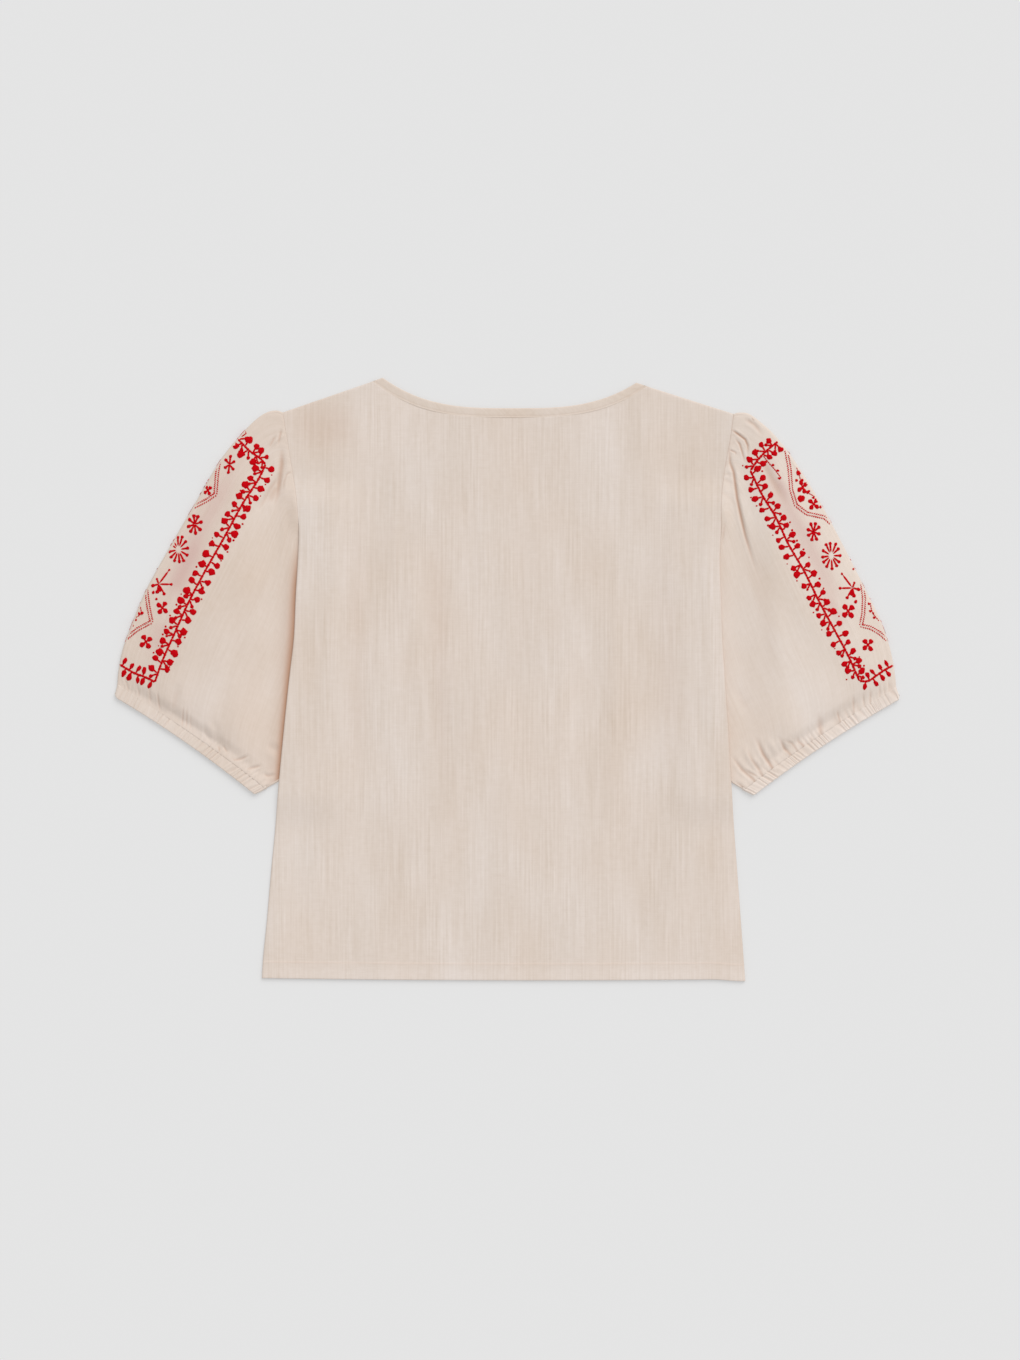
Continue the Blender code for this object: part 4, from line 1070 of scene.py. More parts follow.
def makeSleeve(which):
    # A flattened, puffed tube from the armhole to the cuff, on the same sections as the solid
    sleeve, shared = sleeves[which], sleeves["shared"]
    side, seed = sleeve["side"], sleeve["seed"]
    table = np.hstack([sleeve["sections"], shared["profile"]])
    even = np.linspace(0, 1, shared["rows"])
    at = shared["evenRows"] * even + (1 - shared["evenRows"]) * (1 - np.cos(np.pi * even)) / 2
    columns = [through(at, np.linspace(0, 1, len(table)), column) for column in table.T]
    at = at[:, None]
    outer, inner = np.stack(columns[0:2], axis=-1), np.stack(columns[2:4], axis=-1)
    crown, fold = columns[4][:, None], columns[5][:, None]
    topCount, foldCount = shared["topColumns"], shared["foldColumns"]
    topShare = np.linspace(0, 1, topCount + 2)[1:-1] ** shared["crowding"]
    paths, travelled = sectionPaths(outer, inner, 1 - ease(at[:, 0] / shared["bendReach"]))
    length = travelled[:, -1:]
    innerFold = np.full_like(fold, shared["tucked"] / 2)
    distance, height, onTop, under = tubeSection(
        length, fold, innerFold, topShare, shared["underColumns"], foldCount)
    plan = alongPaths(paths, travelled, distance)
    # The head is drawn to the body's edge, and the cuff's end is bowed
    seamY = plan[0, :, 1]
    toSeam = (sideX(seamY, side) + side * body["apart"] - plan[0, :, 0]) * onArmhole(seamY)
    plan[:, :, 0] += toSeam * np.clip(1 - at / shared["seamReach"], 0, 1) ** 2
    direction = ((inner - outer) / np.linalg.norm(inner - outer, axis=1)[:, None])[:, None, :]
    drawnUp = ease((at - 1) / shared["cuffReach"] + 1)
    plan += bowed(direction, distance / length, side) * drawnUp[:, :, None]
    x, y = plan[:, :, 0], plan[:, :, 1]

    def after(ends):
        # From 0 to 1 along the sleeve, by where it starts and over what share
        return ease((at - ends[0]) / ends[1])

    # The puff rises from the body and the outer fold, and falls to the cuff
    fromBody, sewn, share = side * (x - sideX(y, side)), onArmhole(y), distance / length
    away = ease((fromBody - shared["puffStarts"]) / shared["puffRise"])
    rounding = 1 - (1 - np.clip((distance - fold) / shared["puffEdge"], 0, 1)) ** 2
    puff = crown * away * rounding * (1 - after(shared["puffEnds"]))
    # Folds and drape, the gathers at the head and those that run on from the cuff
    folds, dark = foldField(x, y, sleeve["folds"])
    drape = shared["drape"] * np.sin(11 * share + 16 * at + seed) * np.sin(5 * share * np.pi) * away
    seamWave = np.sin(2 * np.pi * 10 * share + 4 * np.sin(13 * share + side) + 1.3 * np.sin(47 * share))
    fading = np.exp(-np.clip(fromBody, 0, None) / shared["headReach"]) * sewn
    head = sleeve["headGather"] * seamWave * fading * (1 + 0.5 * np.sin(43 * share))
    ridges, valleys = gatherRidges(share, 0.0, seed, sleeve["cuffGather"])
    reach = cuffs["sleeveReach"] * (0.9 + 0.5 * np.sin(37 * share + seed) * np.sin(83 * share))
    nearCuff = ease(1 - (1 - at) * shared["length"] / reach)
    clear = ease((fromBody - body["apart"]) / shared["clearOver"]) * ease((distance - fold) / body["layer"])
    puff += ((folds + drape) * (1 - after(shared["levelEnds"])) + head + ridges * nearCuff) * clear
    toCuff = cuffs["height"] - 0.00003 - height
    puff += toCuff * after(shared["meetEnds"]) * ease((distance - fold) / shared["clearOver"])
    # The body's side lies on it, and rolls it in at the armhole
    edgeLift = lift(sideX(y, side), y) * sewn
    rise = edgeLift * (1 - ease(fromBody / shared["armholeReach"]))
    rise = rise - rounded(fromBody - body["apart"], *shared["armholeRoll"]) * sewn * (height > fold)
    underWave = shared["underGather"] * (ridges + cuffs["gatherHeight"]) * nearCuff * under
    bottom = shared["underLift"] * np.clip(1 - height / (2 * fold), 0, 1)
    surface = np.stack([x, y, height + puff * onTop + underWave + bottom + rise], axis=-1)
    # One more row runs on under the body's edge, and two into the cuff
    first = surface[:1].copy()
    first[:, :, 0] -= side * body["tuck"] * sewn[:1]
    first[:, :, 2] += (shared["sewnHeight"] + edgeLift[:1] - first[:, :, 2]) * sewn[:1]
    intoCuff = np.array(sleeve["cuff"][1][:2]) - np.array(sleeve["cuff"][0][:2])
    last = tuckedRows(surface[-1:], intoCuff / np.linalg.norm(intoCuff))

    # Painted shade in the folds, along the armhole's seam, in the gathers' valleys and evenly over the sleeve,
    # and the painted shadow of the body's side
    wide, strength = sleeve["shadowBesideBody"]
    wider, widerAt, widerOver = shared["shadowStripWider"]
    wide = wide * (1 + wider * np.exp(-(((y - widerAt) / widerOver) ** 2)))
    outside = np.clip(fromBody, 0, None) / wide
    strip = strength * (0.72 * np.exp(-(outside**2)) + 0.28 * np.exp(-((outside / 3.2) ** 1.5)))
    strip *= ease((shared["shadowStripTop"][0] - y) / shared["shadowStripTop"][1]) * (fromBody > -0.002)
    strip *= ease((y - shared["shadowStripBottom"][0]) / shared["shadowStripBottom"][1])
    seamLine = np.exp(-((fromBody / shared["seamLine"]) ** 2)) * sewn + fading * (0.5 - 0.5 * seamWave) ** 3
    dark = np.maximum(np.maximum(dark, sleeve["seamShade"] * seamLine), strip)
    dark = onTop * np.maximum(dark, shared["valleyDark"] * valleys * nearCuff)
    dark = np.maximum(dark, sleeve["evenShade"])
    # Painted light over the sleeve, more towards the cuff
    lightTop, lightOver = shared["lightBelow"]
    light = sleeve["light"][0] + sleeve["light"][1] * ease((lightTop - y) / lightOver)
    pink = foldField(x, y, sleeve["pinkMm"])[1]
    uv = tubeGrain(distance, length, under, distances((outer + inner) / 2)[:, None])
    uv, dark, pink, light = [carried(values, 1, 2) for values in (uv, dark, pink, light)]
    makeTube("sleeve", which, np.concatenate([first, surface, *last]), uv,
             {"paintedshade": dark, "blush": pink, "light": light}, sleeveCloth)
    left = directions(outer)[1]
    inward = left * np.sign((left * (inner - outer)).sum(1, keepdims=True))
    top = surface[:, foldCount // 2: foldCount + topCount]
    topMap = heightMap(top[:, :, :2], top[:, :, 2])
    return {"edge": outer, "inward": inward, "fold": fold[:, 0], "map": topMap}


# Cuffs

cuffs = {
    "height": 0.0044,
    "bow": 0.0033,  # how far the middle of the edge is drawn up
    "gathers": 30,
    "gatherHeight": 0.00055,
    "fineHeight": 0.00036,
    "sleeveReach": 0.017,  # how far the gathers run on into the sleeve
    "slant": 0.35,
    "rows": 20,
    "pointsPerGather": 12,
    "stitchAt": 0.09,  # share of the depth
    "tucked": ((0.0008, 0.985), (0.0016, 0.95)),  # how far, and how flat, ends run on into each other
    "corner": 0.0042,
    "edgeWave": (0.7, 0.8),  # how much the lower edge follows the gathers, and its corners' rounding
    "dent": (0.00003, 0.02, 0.05),  # along the stitching: depth, how dark as painted shade, half width
    "roll": (0.42, 0.07),  # how far the lower edge rolls in, over what share of the depth
    "turnIn": (0.0006, 0.5),  # how far, and how flat, the lower edge's last row runs
    "full": 0.04,
    "underGather": 0.4,
    "lightBelow": (0.5, 0.4),
    "depth": 0.012,
    "underColumns": 60,
    "foldColumns": 9,
    "cut": ((0.420, 0.0125), None),
}


def makeCuff(which):
    # Elastic casing: the sleeve's tube carried on, gathered, dented along its stitching and
    # rolled in at its lower edge
    sleeve, side = sleeves[which], sleeves[which]["side"]
    at = np.concatenate([np.linspace(0, 0.93, cuffs["rows"] - 4), (0.955, 0.975, 0.99, 1.0)])[:, None]
    start, end = np.array(sleeve["cuff"])
    outer, inner = start[:2] + (end - start)[:2] * at, start[2:] + (end - start)[2:] * at
    count, foldCount = cuffs["gathers"] * cuffs["pointsPerGather"], cuffs["foldColumns"]
    topShare = (np.arange(count) + 0.5) / count
    middle = cuffs["height"] / 2
    radius = np.full((cuffs["rows"], 1), middle)
    length = np.linalg.norm(inner - outer, axis=1)[:, None]
    distance, height, onTop, under = tubeSection(
        length, radius, radius, topShare, cuffs["underColumns"], foldCount)
    direction = (inner - outer)[:, None, :] / length[:, :, None]
    share = distance / length
    plan = outer[:, None, :] + direction * distance[:, :, None] + bowed(direction, share, side)
    ridges, valleys = gatherRidges(share, at, sleeve["seed"], sleeve["cuffGather"])
    # The lower edge waves with the gathers and is rounded at its two corners
    intoSleeve = (start - end)[:2] / np.linalg.norm((start - end)[:2])
    corner = np.clip(1 - np.minimum(distance, length - distance) / cuffs["corner"], 0, 1)
    wave, cornerWave = cuffs["edgeWave"]
    drawn = wave * ridges * at + cornerWave * cuffs["corner"] * (1 - np.sqrt(1 - corner**2)) * at**2
    plan = plan + intoSleeve * drawn[:, :, None]
    dent, dentDark, dentWide = cuffs["dent"]
    stitched = np.exp(-(((at - cuffs["stitchAt"]) / dentWide) ** 2))
    rollIn, rollOver = cuffs["roll"]
    roll = 1 - rollIn * (1 - np.sqrt(1 - np.clip((at - 1) / rollOver + 1, 0, 1) ** 2))
    full = 1 + cuffs["full"] * np.sin(np.pi * at)
    z = middle + (height - middle) * roll * full + (ridges * (0.6 + 0.4 * full) - dent * stitched) * onTop
    z = z + cuffs["underGather"] * (ridges + cuffs["gatherHeight"] + cuffs["fineHeight"]) * under
    # Painted shade in the gathers' valleys and in the dent along the stitching
    dark = np.maximum(sleeves["shared"]["valleyDark"] * valleys, dentDark * stitched) * onTop
    # Painted light over the cuff, more towards its lower edge
    everywhere, below = sleeve["cuffLight"]
    lightTop, lightOver = cuffs["lightBelow"]
    light = sum(sleeve["light"]) + everywhere + below * ease((at - lightTop) / lightOver)
    light = np.broadcast_to(light, dark.shape)
    uv = tubeGrain(distance, length, under, at * cuffs["depth"])
    grid = np.concatenate([plan, z[:, :, None]], axis=-1)
    # Two more rows run on into the sleeve, and one turns in at the lower edge
    first, last = tuckedRows(grid[:1], intoSleeve)[::-1], grid[-1:].copy()
    turnIn, flat = cuffs["turnIn"]
    last[:, :, :2] += intoSleeve * turnIn
    last[:, :, 2] = middle + flat * (last[:, :, 2] - middle)
    grid = np.concatenate([*first, grid, last])
    uv, dark, light = [carried(values, 2, 1) for values in (uv, dark, light)]
    masks = {"paintedshade": dark, "blush": np.zeros_like(dark), "light": light}
    makeTube("cuff", which, grid, uv, masks, cuffCloth)
    row = len(first) + int(np.argmin(np.abs(at[:, 0] - cuffs["stitchAt"])))
    return grid[row, foldCount: foldCount + count]


# Making the cloth pieces

backBase = body["layer"] + body["apart"]
backPanel = makePanel("backPanel", body["backNeck"], True, "back_panel")
frontPanel = makePanel("frontPanel", body["frontNeck"], False, "front_panel")
print("body made")

makeBinding("neckBindingBack", body["backNeck"], backBase, binding["backWall"], "neck_binding_back")
makeBinding("neckBindingFront", body["frontNeck"], 0.0, body["layer"], "neck_binding_front")
print("neck bindings made")

surfaces, stitchLines = {}, {}
for which in ("left", "right"):
    surfaces[which] = makeSleeve(which)
    stitchLines[which] = makeCuff(which)
print("sleeves and cuffs made")


# Embroidery

embroidery = {
    "stemHalf": 0.00119,
    "stemRise": 0.00055,
    "berryPitch": 0.0108,
    "berryReach": (0.0060, 0.0082),  # from the stem to a berry's middle
    "berryLean": (-0.0010, 0.0034),  # how far it leans back along the stem
    "berryHalf": (0.0029, 0.0039),
    "secondShare": 0.5,  # of berries with a second, smaller one, and of those with a loose dot
    "dotShare": 0.55,
    "leafPitch": 0.0078,
    "leafReach": (0.0050, 0.0062),
    "leafLean": (-0.0012, 0.0016),
    "leafHalf": (0.0040, 0.0024),
    "stalkHalf": 0.00112,
    "padRise": 0.00060,
    "clear": 0.0050,  # between the berries of two stems that meet
    "fineRise": 0.00040,
    "chainPitch": 0.0021,
    "chainApart": 0.0014,
    "chainHalf": (0.00140, 0.00068),
    "rayHalf": 0.00120,
    "outline": (-0.00015, -0.00012),  # how far a pad's underside and rim lie below the cloth
    "shoulder": (0.80, 0.74),  # share of a pad's outline, and of its rise
    # turn, reach mm and bead size mm of each twig of the branching sprigs
    "branch": [(0, 17.5, 1.2), (-0.95, 12.5, 1.5), (2.45, 6.0, 1.9), (3.6, 7.6, 2.0), (1.0, 5.2, 1.3),
               (-2.3, 6.2, 1.6), (4.3, 11.0, 1.7)],
    # x, y mm; rays; half width and half height mm; share left open; bead size mm; turn
    "leftFlowers": [
        (-277.2, 214.3, 6, 5.6, 9.6, 0.06, 1.7, 0.35), (-311.8, 154.6, 8, 7.8, 10.9, 0.05, 2.0, 0.20),
        (-328.1, 129.3, 12, 11.4, 15.8, 0.24, 1.75, 0.10),
    ],
    "rightFlowers": [
        (305.2, 146.9, 8, 7.0, 10.2, 0.05, 1.9, -0.30), (322.9, 123.2, 12, 11.2, 15.6, 0.24, 1.75, 0.05),
    ],
    # x, y mm; turn; petal size mm
    "leftCrosses": [(-343.9, 71.2, 0.90, 2.9), (-360.4, 37.3, 0.62, 3.1), (-298.8, 188.6, 0.60, 2.2)],
    "rightCrosses": [(339.6, 68.1, 0.72, 3.3), (359.6, 34.3, 0.72, 2.9), (294.5, 191.8, 0.50, 2.7),
                     (305.6, 175.0, 0.90, 2.7)],
    # x, y mm of a branching sprig and the way its long branch points
    "leftBranch": (-347.7, 94.9, 0.93),
    "rightBranch": (344.2, 91.1, 2.22),
    # loose berries: x, y, size mm
    "leftDots": [(-298.6, 199.0, 1.4), (-304.2, 193.0, 1.5), (-308.6, 186.6, 1.6), (-300.9, 196.2, 1.0),
                 (-350.0, 80.0, 1.3), (-353.2, 86.6, 1.6), (-364.5, 66.0, 1.7), (-358.9, 115.6, 0.8)],
    "rightDots": [(292.9, 180.1, 3.7), (290.6, 205.9, 2.6), (299.6, 186.6, 1.8), (288.4, 198.4, 1.5),
                  (312.9, 172.2, 1.8), (342.6, 119.3, 1.0), (345.7, 110.3, 1.6), (347.3, 77.3, 1.8),
                  (365.0, 66.0, 1.0), (284.5, 228.0, 1.6)],
}


def pad(middle, long, wide, turn, taper=0.0, corners=0, rise="padRise"):
    # One row for padMesh
    return (*middle, long, wide, turn, taper, corners, embroidery[rise])


def straight(start, end, half, longer=0.0, taper=0.0):
    # The pad of one straight stitch
    long = np.linalg.norm(end - start) / 2 + longer
    return pad((start + end) / 2, long, half, heading(end - start), taper, rise="fineRise")


def padRows(middle, long, wide, turn, rise):
    # Rows for whole arrays of plain pads
    return np.stack(np.broadcast_arrays(*middle.T[:2], long, wide, turn, 0.0, 0.0, rise), axis=-1)


def padMesh(pads, sides):
    # Each pad is a low dome on a closed outline. In its own directions the outline is
    # (L r cos t, W r sin t (1 + taper cos t)); r is near 1, drawn towards a polygon with the
    # given corners, and uneven by three small waves. A rim below the cloth, a shoulder ring and
    # two poles close it. Rows of pads are x, y, L, W, turn, taper, corners, rise.
    pads = np.asarray(pads, float)
    turn = np.linspace(0, 2 * np.pi, sides, endpoint=False)[None, :]
    corners = pads[:, 6:7]
    wedge = 2 * np.pi / np.maximum(corners, 3)
    polygon = np.cos(wedge / 2) / np.cos(np.mod(turn, wedge) - wedge / 2)
    radius = np.where(corners >= 3, 0.60 + 0.43 * polygon / np.cos(wedge / 2) ** 0.5, 1.0)
    phase = pads[:, :1] * 9100 + pads[:, 1:2] * 5700
    if sides > 8:
        radius = radius * (1 + 0.05 * np.sin(2 * turn + phase) + 0.07 * np.sin(3 * turn + 2.3 * phase)
                           + 0.07 * np.sin(5 * turn + 3.1 * phase))
    localX = pads[:, 2:3] * radius * np.cos(turn)
    localY = pads[:, 3:4] * radius * np.sin(turn) * (1 + pads[:, 5:6] * np.cos(turn))
    # Its lower pole, rim below the cloth, shoulder ring and upper pole
    zero, rise = 0 * pads[:, :1], pads[:, 7:8]
    below, rim = embroidery["outline"]
    narrow, high = embroidery["shoulder"]
    localX = np.hstack([zero, localX, narrow * localX, zero])
    localY = np.hstack([zero, localY, narrow * localY, zero])
    ring = np.zeros((1, sides))
    rise = np.hstack([zero + below, zero + ring + rim, high * rise + ring, rise])
    cos, sin = np.cos(pads[:, 4:5]), np.sin(pads[:, 4:5])
    x = pads[:, 0:1] + localX * cos - localY * sin
    y = pads[:, 1:2] + localX * sin + localY * cos
    step = np.arange(sides)
    after = (step + 1) % sides
    top = 1 + 2 * sides
    tris = np.concatenate([np.stack(three, axis=-1) for three in (
        (0 * step, 1 + after, 1 + step),
        (1 + step, 1 + after, 1 + sides + after),
        (1 + step, 1 + sides + after, 1 + sides + step),
        (1 + sides + step, 1 + sides + after, 0 * step + top),
    )])
    faces = tris[None] + (np.arange(len(pads)) * (top + 1))[:, None, None]
    plan, uv = np.stack([x, y], axis=-1), np.stack([localX, localY], axis=-1)
    return plan.reshape(-1, 2), rise.ravel(), faces.reshape(-1, 3), uv.reshape(-1, 2)


def stemMesh(path):
    # A low rope along a path: five points over the top and one below the cloth, drawn to a
    # point at both ends
    left = directions(path)[1]
    length = distances(path)
    ends = np.sqrt(np.clip(np.minimum(length, length[-1] - length) / 0.0012, 0.02, 1))
    wobble = 1 + 0.20 * np.sin(length * 2 * np.pi / 0.0031) + 0.12 * np.sin(length * 2 * np.pi / 0.0071)
    half = embroidery["stemHalf"] * ends * wobble
    across = np.array([-1.0, -0.78, 0.0, 0.78, 1.0, 0.0])
    up = np.array([-0.25, 0.62, 1.0, 0.62, -0.25, -0.25])
    plan = path[:, None] + left[:, None] * (half[:, None] * across)[:, :, None]
    rise = embroidery["stemRise"] * ends[:, None] * up
    count, ring = len(path), len(across)
    index = np.arange(count * ring).reshape(count, ring)
    after = np.roll(index, -1, axis=1)
    quads = np.stack([index[:-1], after[:-1], after[1:], index[1:]], axis=-1).reshape(-1, 4)
    tris = np.concatenate([quads[:, [0, 1, 2]], quads[:, [0, 2, 3]]])
    start, end = index[0], index[-1]
    caps = np.concatenate([np.stack([start[0].repeat(ring - 2), start[2:], start[1:-1]], axis=-1),
                           np.stack([end[0].repeat(ring - 2), end[1:-1], end[2:]], axis=-1)])
    uv = np.stack(np.broadcast_arrays(length[:, None] * 0.9, embroidery["stemHalf"] * across), axis=-1)
    return plan.reshape(-1, 2), rise.ravel(), np.concatenate([tris, caps]), uv.reshape(-1, 2)


def ontoSleeve(plan, rise, surface, face):
    # Height of the cloth under each point plus the stitch's own rise along the cloth's normal.
    # Near the outer fold the normal turns outwards, round the fold's radius. face is 1 for the
    # upper layer and -1 for the lower one, which shows the other half of the pattern.
    nearest = np.empty(len(plan), int)
    for start in range(0, len(plan), 4000):
        part = plan[start:start + 4000]
        gap = ((part[:, None] - surface["edge"][None]) ** 2).sum(2)
        nearest[start:start + 4000] = gap.argmin(1)
    inward, fold = surface["inward"][nearest], surface["fold"][nearest]
    inside = ((plan - surface["edge"][nearest]) * inward).sum(1)
    plan = plan + inward * np.clip(0.0001 - inside, 0, None)[:, None]
    lean = np.clip(1 - np.maximum(inside, 0) / fold, 0, 1)
    upright = np.sqrt(1 - lean**2)
    if face > 0:
        surfaceZ = fold + (mapHeight(surface["map"], plan) - fold) * np.clip(upright, 0.0, 1.0)
        z = surfaceZ + rise * np.maximum(upright, 0.15)
    else:
        lifted = sleeves["shared"]["underLift"]
        z = lifted + fold * (1 - upright) - rise * np.maximum(upright, 0.15)
    plan = plan - inward * (lean * rise)[:, None]
    return np.concatenate([plan, z[:, None]], axis=1)


def leafPads(base, ahead, across, random, size):
    # One leaf beside the stem, leaning back along it
    reach, lean = random.uniform(*embroidery["leafReach"]), random.uniform(*embroidery["leafLean"])
    middle = base + across * reach - ahead * lean
    grown = random.uniform(0.8, 1.1) * size
    long, wide = embroidery["leafHalf"]
    turn = heading(middle - base)
    return middle, [pad(middle, long * grown, wide * grown, turn, random.uniform(-0.3, 0.35))], []


def berryPads(base, ahead, across, random, size):
    # A berry beside the stem, leaning back along it, at times with a second one or a loose dot
    reach, lean = random.uniform(*embroidery["berryReach"]), random.uniform(*embroidery["berryLean"])
    middle = base + across * reach - ahead * lean
    turn = heading(middle - base)
    half = random.uniform(*embroidery["berryHalf"]) * size
    corners = random.choice([0, 0, 4, 4, 5])
    taper = 0.0 if corners else random.uniform(0.0, 0.4)
    long = half * random.uniform(1.0, 1.15)
    big, small = [pad(middle, long, half, turn + random.uniform(-0.5, 0.5), taper, corners)], []
    if random.random() < embroidery["secondShare"]:
        second = base + across * reach * 0.75 + ahead * random.uniform(0.0040, 0.0056)
        secondHalf = half * random.uniform(0.45, 0.72)
        big.append(pad(second, secondHalf, secondHalf, turn, 0.1, random.choice([0, 5])))
        small.append(straight(base, second, embroidery["stalkHalf"]))
    if random.random() < embroidery["dotShare"]:
        dot = base + across * random.uniform(0.0085, 0.0115) + ahead * random.uniform(0.0030, 0.0062)
        dotHalf = random.uniform(0.0007, 0.0013)
        small.append(pad(dot, dotHalf * 1.1, dotHalf, turn, rise="fineRise"))
    return middle, big, small


def vinePads(path, random, pitch, size, grow=berryPads):
    # Berries or leaves by turns on both sides of a stem, each on its stalk
    along, left = directions(path)
    length = distances(path)
    big, small = [], []
    for hand, first in ((1, 0.3), (-1, 0.75)):
        places = np.arange(first * pitch, length[-1] - 0.35 * pitch, pitch)
        for place in places + random.uniform(-0.12, 0.12, len(places)) * pitch:
            row = min(int(np.searchsorted(length, place)), len(path) - 1)
            middle, grown, fine = grow(path[row], along[row], left[row] * hand, random, size)
            big += grown
            small += fine + [straight(path[row], middle, embroidery["stalkHalf"])]
    return big, small


def flowerPads(flower, random):
    # Rays from a middle to an oval, each a thin stitch with a bead at its end
    x, y, rays, wide, tall, open_, bead, turn = flower
    middle = np.array([x, y]) / 1000
    big, small = [], []
    for ray in range(rays):
        angle = 2 * np.pi * ray / rays + turn + random.uniform(-0.07, 0.07)
        way = np.array([np.cos(angle) * wide, np.sin(angle) * tall]) / 1000 * random.uniform(0.86, 1.0)
        start, end = middle + way * open_, middle + way * 0.86
        small.append(straight(start, end, embroidery["rayHalf"], 0.0006, 0.2))
        corners = random.choice([0, 5])
        big.append(pad(end, bead * 1.15 / 1000, bead / 1000, heading(end - start), 0.2, corners))
    return big, small


def crossPads(cross, random):
    # Four rounded petals on the arms of a turned cross
    x, y, turn, sizeMm = cross
    middle, size = np.array([x, y]) / 1000, sizeMm / 1000
    big, small = [], []
    for arm in range(4):
        angle = turn + arm * np.pi / 2 + random.uniform(-0.12, 0.12)
        way = np.array([np.cos(angle) * 0.92, np.sin(angle) * 1.12])
        long = size * random.uniform(0.95, 1.1)
        big.append(pad(middle + way * size * 1.45, long, size * 0.88, heading(way), 0.22))
        stitch = middle + way * size * 0.5
        small.append(pad(stitch, size * 0.8, embroidery["rayHalf"], heading(way), rise="fineRise"))
    return big, small


def branchPads(branch):
    # A long twig and its side twigs, with beads at their ends; mirrored on the right
    x, y, angle = branch
    middle = np.array([x, y]) / 1000
    big, small = [], []
    for turn, reach, bead in embroidery["branch"]:
        angled = angle + turn * (1 if x < 0 else -1)
        end = middle + np.array([np.cos(angled), np.sin(angled)]) * reach / 1000
        small.append(pad((middle + end) / 2, reach / 1900, embroidery["rayHalf"], angled, rise="fineRise"))
        big.append(pad(end, bead * 1.2 / 1000, bead / 1000, angled, 0.2))
    return big, small


def chainPads(pathMm, random):
    # Two rows of short slanted stitches, one each side of a line with corners
    points = np.array(pathMm) / 1000
    reached = distances(points)
    path = alongPath(np.arange(0, reached[-1], embroidery["chainPitch"]), reached, points)
    along, left = directions(path)
    long, wide = embroidery["chainHalf"]
    rows = []
    for hand in (1, -1):
        middle = path + left * hand * embroidery["chainApart"] + along * (0.0004 * hand)
        turn = heading(along) + hand * 0.75 + random.uniform(-0.15, 0.15, len(path))
        size = random.uniform(0.85, 1.1, len(path))
        rows += list(padRows(middle, long * size, wide * size, turn, embroidery["fineRise"]))
    return [], rows


def sprigPads(pathMm, random):
    # A thin line of stitches with small beads beside it
    path = smoothPath(pathMm, 0.0023)
    along, left = directions(path)
    turn = heading(along)
    small = list(padRows(path, 0.0014, 0.0007, turn, embroidery["fineRise"]))
    big = []
    for row in range(2, len(path), 3):
        place = path[row] + left[row] * random.choice([-1, 1]) * 0.0017
        big.append(pad(place, 0.0017, 0.0013, turn[row] + 0.6, 0.2, rise="fineRise"))
    return big, small


def makeEmbroidery(which):
    # All motifs of one sleeve as one mesh, laid on both of its faces
    sleeve, surface = sleeves[which], surfaces[which]
    random = np.random.default_rng(sleeve["seed"])
    big, small = [], []

    def take(found, clear=0.0):
        # A pad whose middle lies nearer than this to an earlier one is left out
        taken = np.array([row[:2] for row in big]).reshape(-1, 2)
        big.extend(row for row in found[0] if np.all(np.hypot(*(taken - row[:2]).T) >= clear))
        small.extend(found[1])

    stems = [smoothPath(sleeve[key], 0.0010) for key in ("vineTopMm", "vineMm", "vineEndMm")]
    size, clear = sleeve["berrySize"], embroidery["clear"]
    take(vinePads(stems[1], random, embroidery["berryPitch"], size))
    take(vinePads(stems[0], random, embroidery["leafPitch"] * 1.15, size), clear)
    take(vinePads(stems[2], random, embroidery["leafPitch"], size, leafPads), clear)
    for flower in embroidery[which + "Flowers"]:
        take(flowerPads(flower, random))
    for cross in embroidery[which + "Crosses"]:
        take(crossPads(cross, random))
    take(branchPads(embroidery[which + "Branch"]))
    for path in sleeve["sprigsMm"]:
        take(sprigPads(path, random))
    for path in sleeve["chainsMm"]:
        take(chainPads(path, random))
    for x, y, size in embroidery[which + "Dots"]:
        big.append(pad((x / 1000, y / 1000), size * 1.1 / 1000, size / 1000, 0.9, 0.1, 5))

    parts = [padMesh(big, 12), padMesh(small, 6)] + [stemMesh(stem) for stem in stems]
    shades = [random.uniform(0, 0.3, len(part[0])) * 0.4 for part in parts]
    points, faces, uv, passed = [], [], [], 0
    for face in (1, -1):
        for plan, rise, tris, grain in parts:
            tris = tris[:, ::face]
            points.append(ontoSleeve(plan, rise, surface, face))
            faces.append(tris + passed)
            uv.append(grain[tris.ravel()])
            passed += len(plan)
    faces = np.concatenate(faces)
    piece = newPiece("embroidery" + which.capitalize(), np.concatenate(points), faces.tolist(),
                     np.concatenate(uv), {"shade": np.concatenate(shades * 2)}, redThread)
    print("embroidery", which, len(faces), "faces")


for which in ("left", "right"):
    makeEmbroidery(which)


# Sewing

sewing = {
    "stitch": 0.0020,
    "gap": 0.0009,
    "half": 0.00014,
    "rise": 0.00004,
    "above": 0.00002,
    "hemBelow": 0.0015,  # distance of the stitches from the hem's upper edge
    "cuffEnds": 6,  # points left free at both ends of a cuff
}


def stitchRow(line, up=1):
    # Short rounded stitches along a line in space, each the same small pad; up is 1 on a face
    # that looks up and -1 on one that looks down
    length = distances(line)
    pitch = sewing["stitch"] + sewing["gap"]
    at = np.arange(pitch / 2, length[-1] - pitch / 2, pitch)
    place, ahead = [alongPath(at + step, length, line) for step in (0, 0.0005)]
    pads = padRows(place, sewing["stitch"] / 2, sewing["half"], heading(ahead - place), sewing["rise"])
    plan, rise, faces, uv = padMesh(pads, 6)
    z = np.repeat(place[:, 2], len(plan) // len(pads)) + up * (rise + sewing["above"])
    return np.concatenate([plan, z[:, None]], axis=1), faces[:, ::up], uv


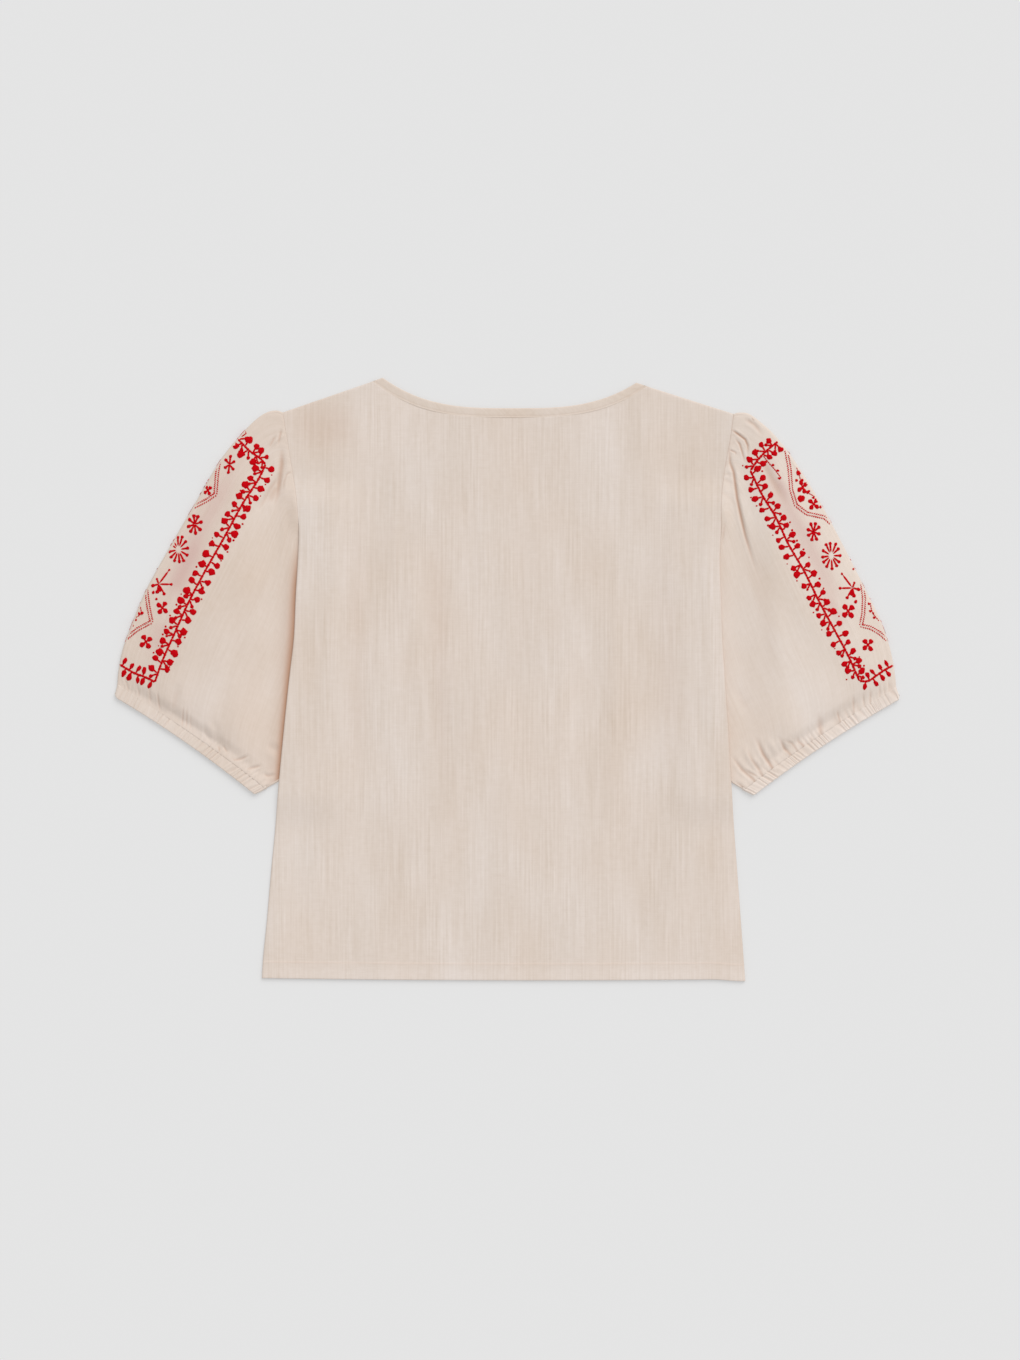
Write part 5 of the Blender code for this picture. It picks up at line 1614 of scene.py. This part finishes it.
def neckStitchLine(neck, base, wall):
    # Along the binding's groove
    share = np.linspace(0.01, 0.99, 300)
    edge, across = neckSections(share, neck)
    reach = 1 - binding["groove"] / binding["width"]
    z = bindingTop(np.full_like(share, binding["width"] - binding["groove"]), base, wall, share)
    return np.concatenate([edge + across * reach, z[:, None]], axis=1)


def hemStitchLine(isBack):
    # Just below the hem's upper edge
    x = np.linspace(body["sides"][-1][1] + 0.004, body["sides"][-1][2] - 0.004, 400)
    y = hemY(x) + body["hemDepth"] - sewing["hemBelow"]
    z = backTop(x, y)[0] if isBack else frontUnder(x, y)
    return np.stack([x, y, z], axis=1)


free = sewing["cuffEnds"]
rows = [
    stitchRow(neckStitchLine(body["backNeck"], backBase, binding["backWall"])),
    stitchRow(hemStitchLine(True)),
    stitchRow(hemStitchLine(False), -1),
    stitchRow(stitchLines["left"][free:-free]),
    stitchRow(stitchLines["right"][free:-free]),
]
passed = np.cumsum([0] + [len(row[0]) for row in rows[:-1]])
faces = np.concatenate([row[1] + start for row, start in zip(rows, passed)])
uv = np.concatenate([row[2][row[1].ravel()] for row in rows])
points = np.concatenate([row[0] for row in rows])
even = {"shade": np.zeros(len(points))}
stitches = newPiece("sewingStitches", points, faces.tolist(), uv, even, sewingThread)
print("sewing made")


# Table, light and camera

studio = {
    "floor": (0.47, 0.47, 0.47, 1),
    "reach": 30.0,  # half the table's side, far enough to hide its edge from low viewpoints
    "level": -0.0002,
    "glow": 0.32,  # the table gives off some light of its own, which softens the shadows
    "sky": 0.630,
    "sun": 1.58,
    "sunFrom": (0.42, 0.84, 0.90),
    "sunAngle": 0.80,
    "lens": 85.0,
    "sensor": 36.0,
    "tall": 1.360,  # height of the view at the table
    "middle": (0.00265, -0.0007),
}


def makeFloor():
    # A plain sheet that only shows from above, so that the blouse can be seen from below
    mesh = bpy.data.meshes.new("floor")
    reach, z = studio["reach"], studio["level"]
    corners = [(-reach, -reach, z), (reach, -reach, z), (reach, reach, z), (-reach, reach, z)]
    mesh.from_pydata(corners, [], [(0, 1, 2, 3)])
    floor = bpy.data.objects.new("floor", mesh)
    bpy.context.scene.collection.objects.link(floor)
    material = bpy.data.materials.new("floor")
    material.use_nodes = True
    tree = material.node_tree
    shader = tree.nodes["Principled BSDF"]
    shader.inputs["Base Color"].default_value = studio["floor"]
    shader.inputs["Roughness"].default_value = 0.9
    shader.inputs["Specular IOR Level"].default_value = 0.0
    shader.inputs["Emission Color"].default_value = (1, 1, 1, 1)
    shader.inputs["Emission Strength"].default_value = studio["glow"]
    back = addNode(tree, "ShaderNodeNewGeometry").outputs["Backfacing"]
    clear = addNode(tree, "ShaderNodeBsdfTransparent").outputs[0]
    mixed = addNode(tree, "ShaderNodeMixShader", {0: back, 1: shader.outputs[0], 2: clear})
    tree.links.new(mixed.outputs[0], tree.nodes["Material Output"].inputs[0])
    mesh.materials.append(material)


def makeLight():
    # An even sky and one wide soft lamp
    world = bpy.data.worlds.new("studio")
    world.use_nodes = True
    world.node_tree.nodes["Background"].inputs["Color"].default_value = (1, 1, 1, 1)
    world.node_tree.nodes["Background"].inputs["Strength"].default_value = studio["sky"]
    bpy.context.scene.world = world
    light = bpy.data.lights.new("softbox", "SUN")
    light.energy = studio["sun"]
    light.angle = studio["sunAngle"]
    lamp = bpy.data.objects.new("softbox", light)
    lamp.location = studio["sunFrom"]
    lamp.rotation_euler = lamp.location.to_track_quat("Z", "Y").to_euler()
    bpy.context.scene.collection.objects.link(lamp)


def makeCamera():
    # Straight above: away = half the height of the view * lens / half the sensor
    data = bpy.data.cameras.new("camera")
    data.lens = studio["lens"]
    data.sensor_width = studio["sensor"]
    camera = bpy.data.objects.new("camera", data)
    away = studio["tall"] / 2 * studio["lens"] / (studio["sensor"] / 2)
    camera.location = (*studio["middle"], away)
    bpy.context.scene.collection.objects.link(camera)
    bpy.context.scene.camera = camera


makeFloor()
makeLight()
makeCamera()
bpy.context.scene.view_settings.view_transform = "Standard"
print("studio made")
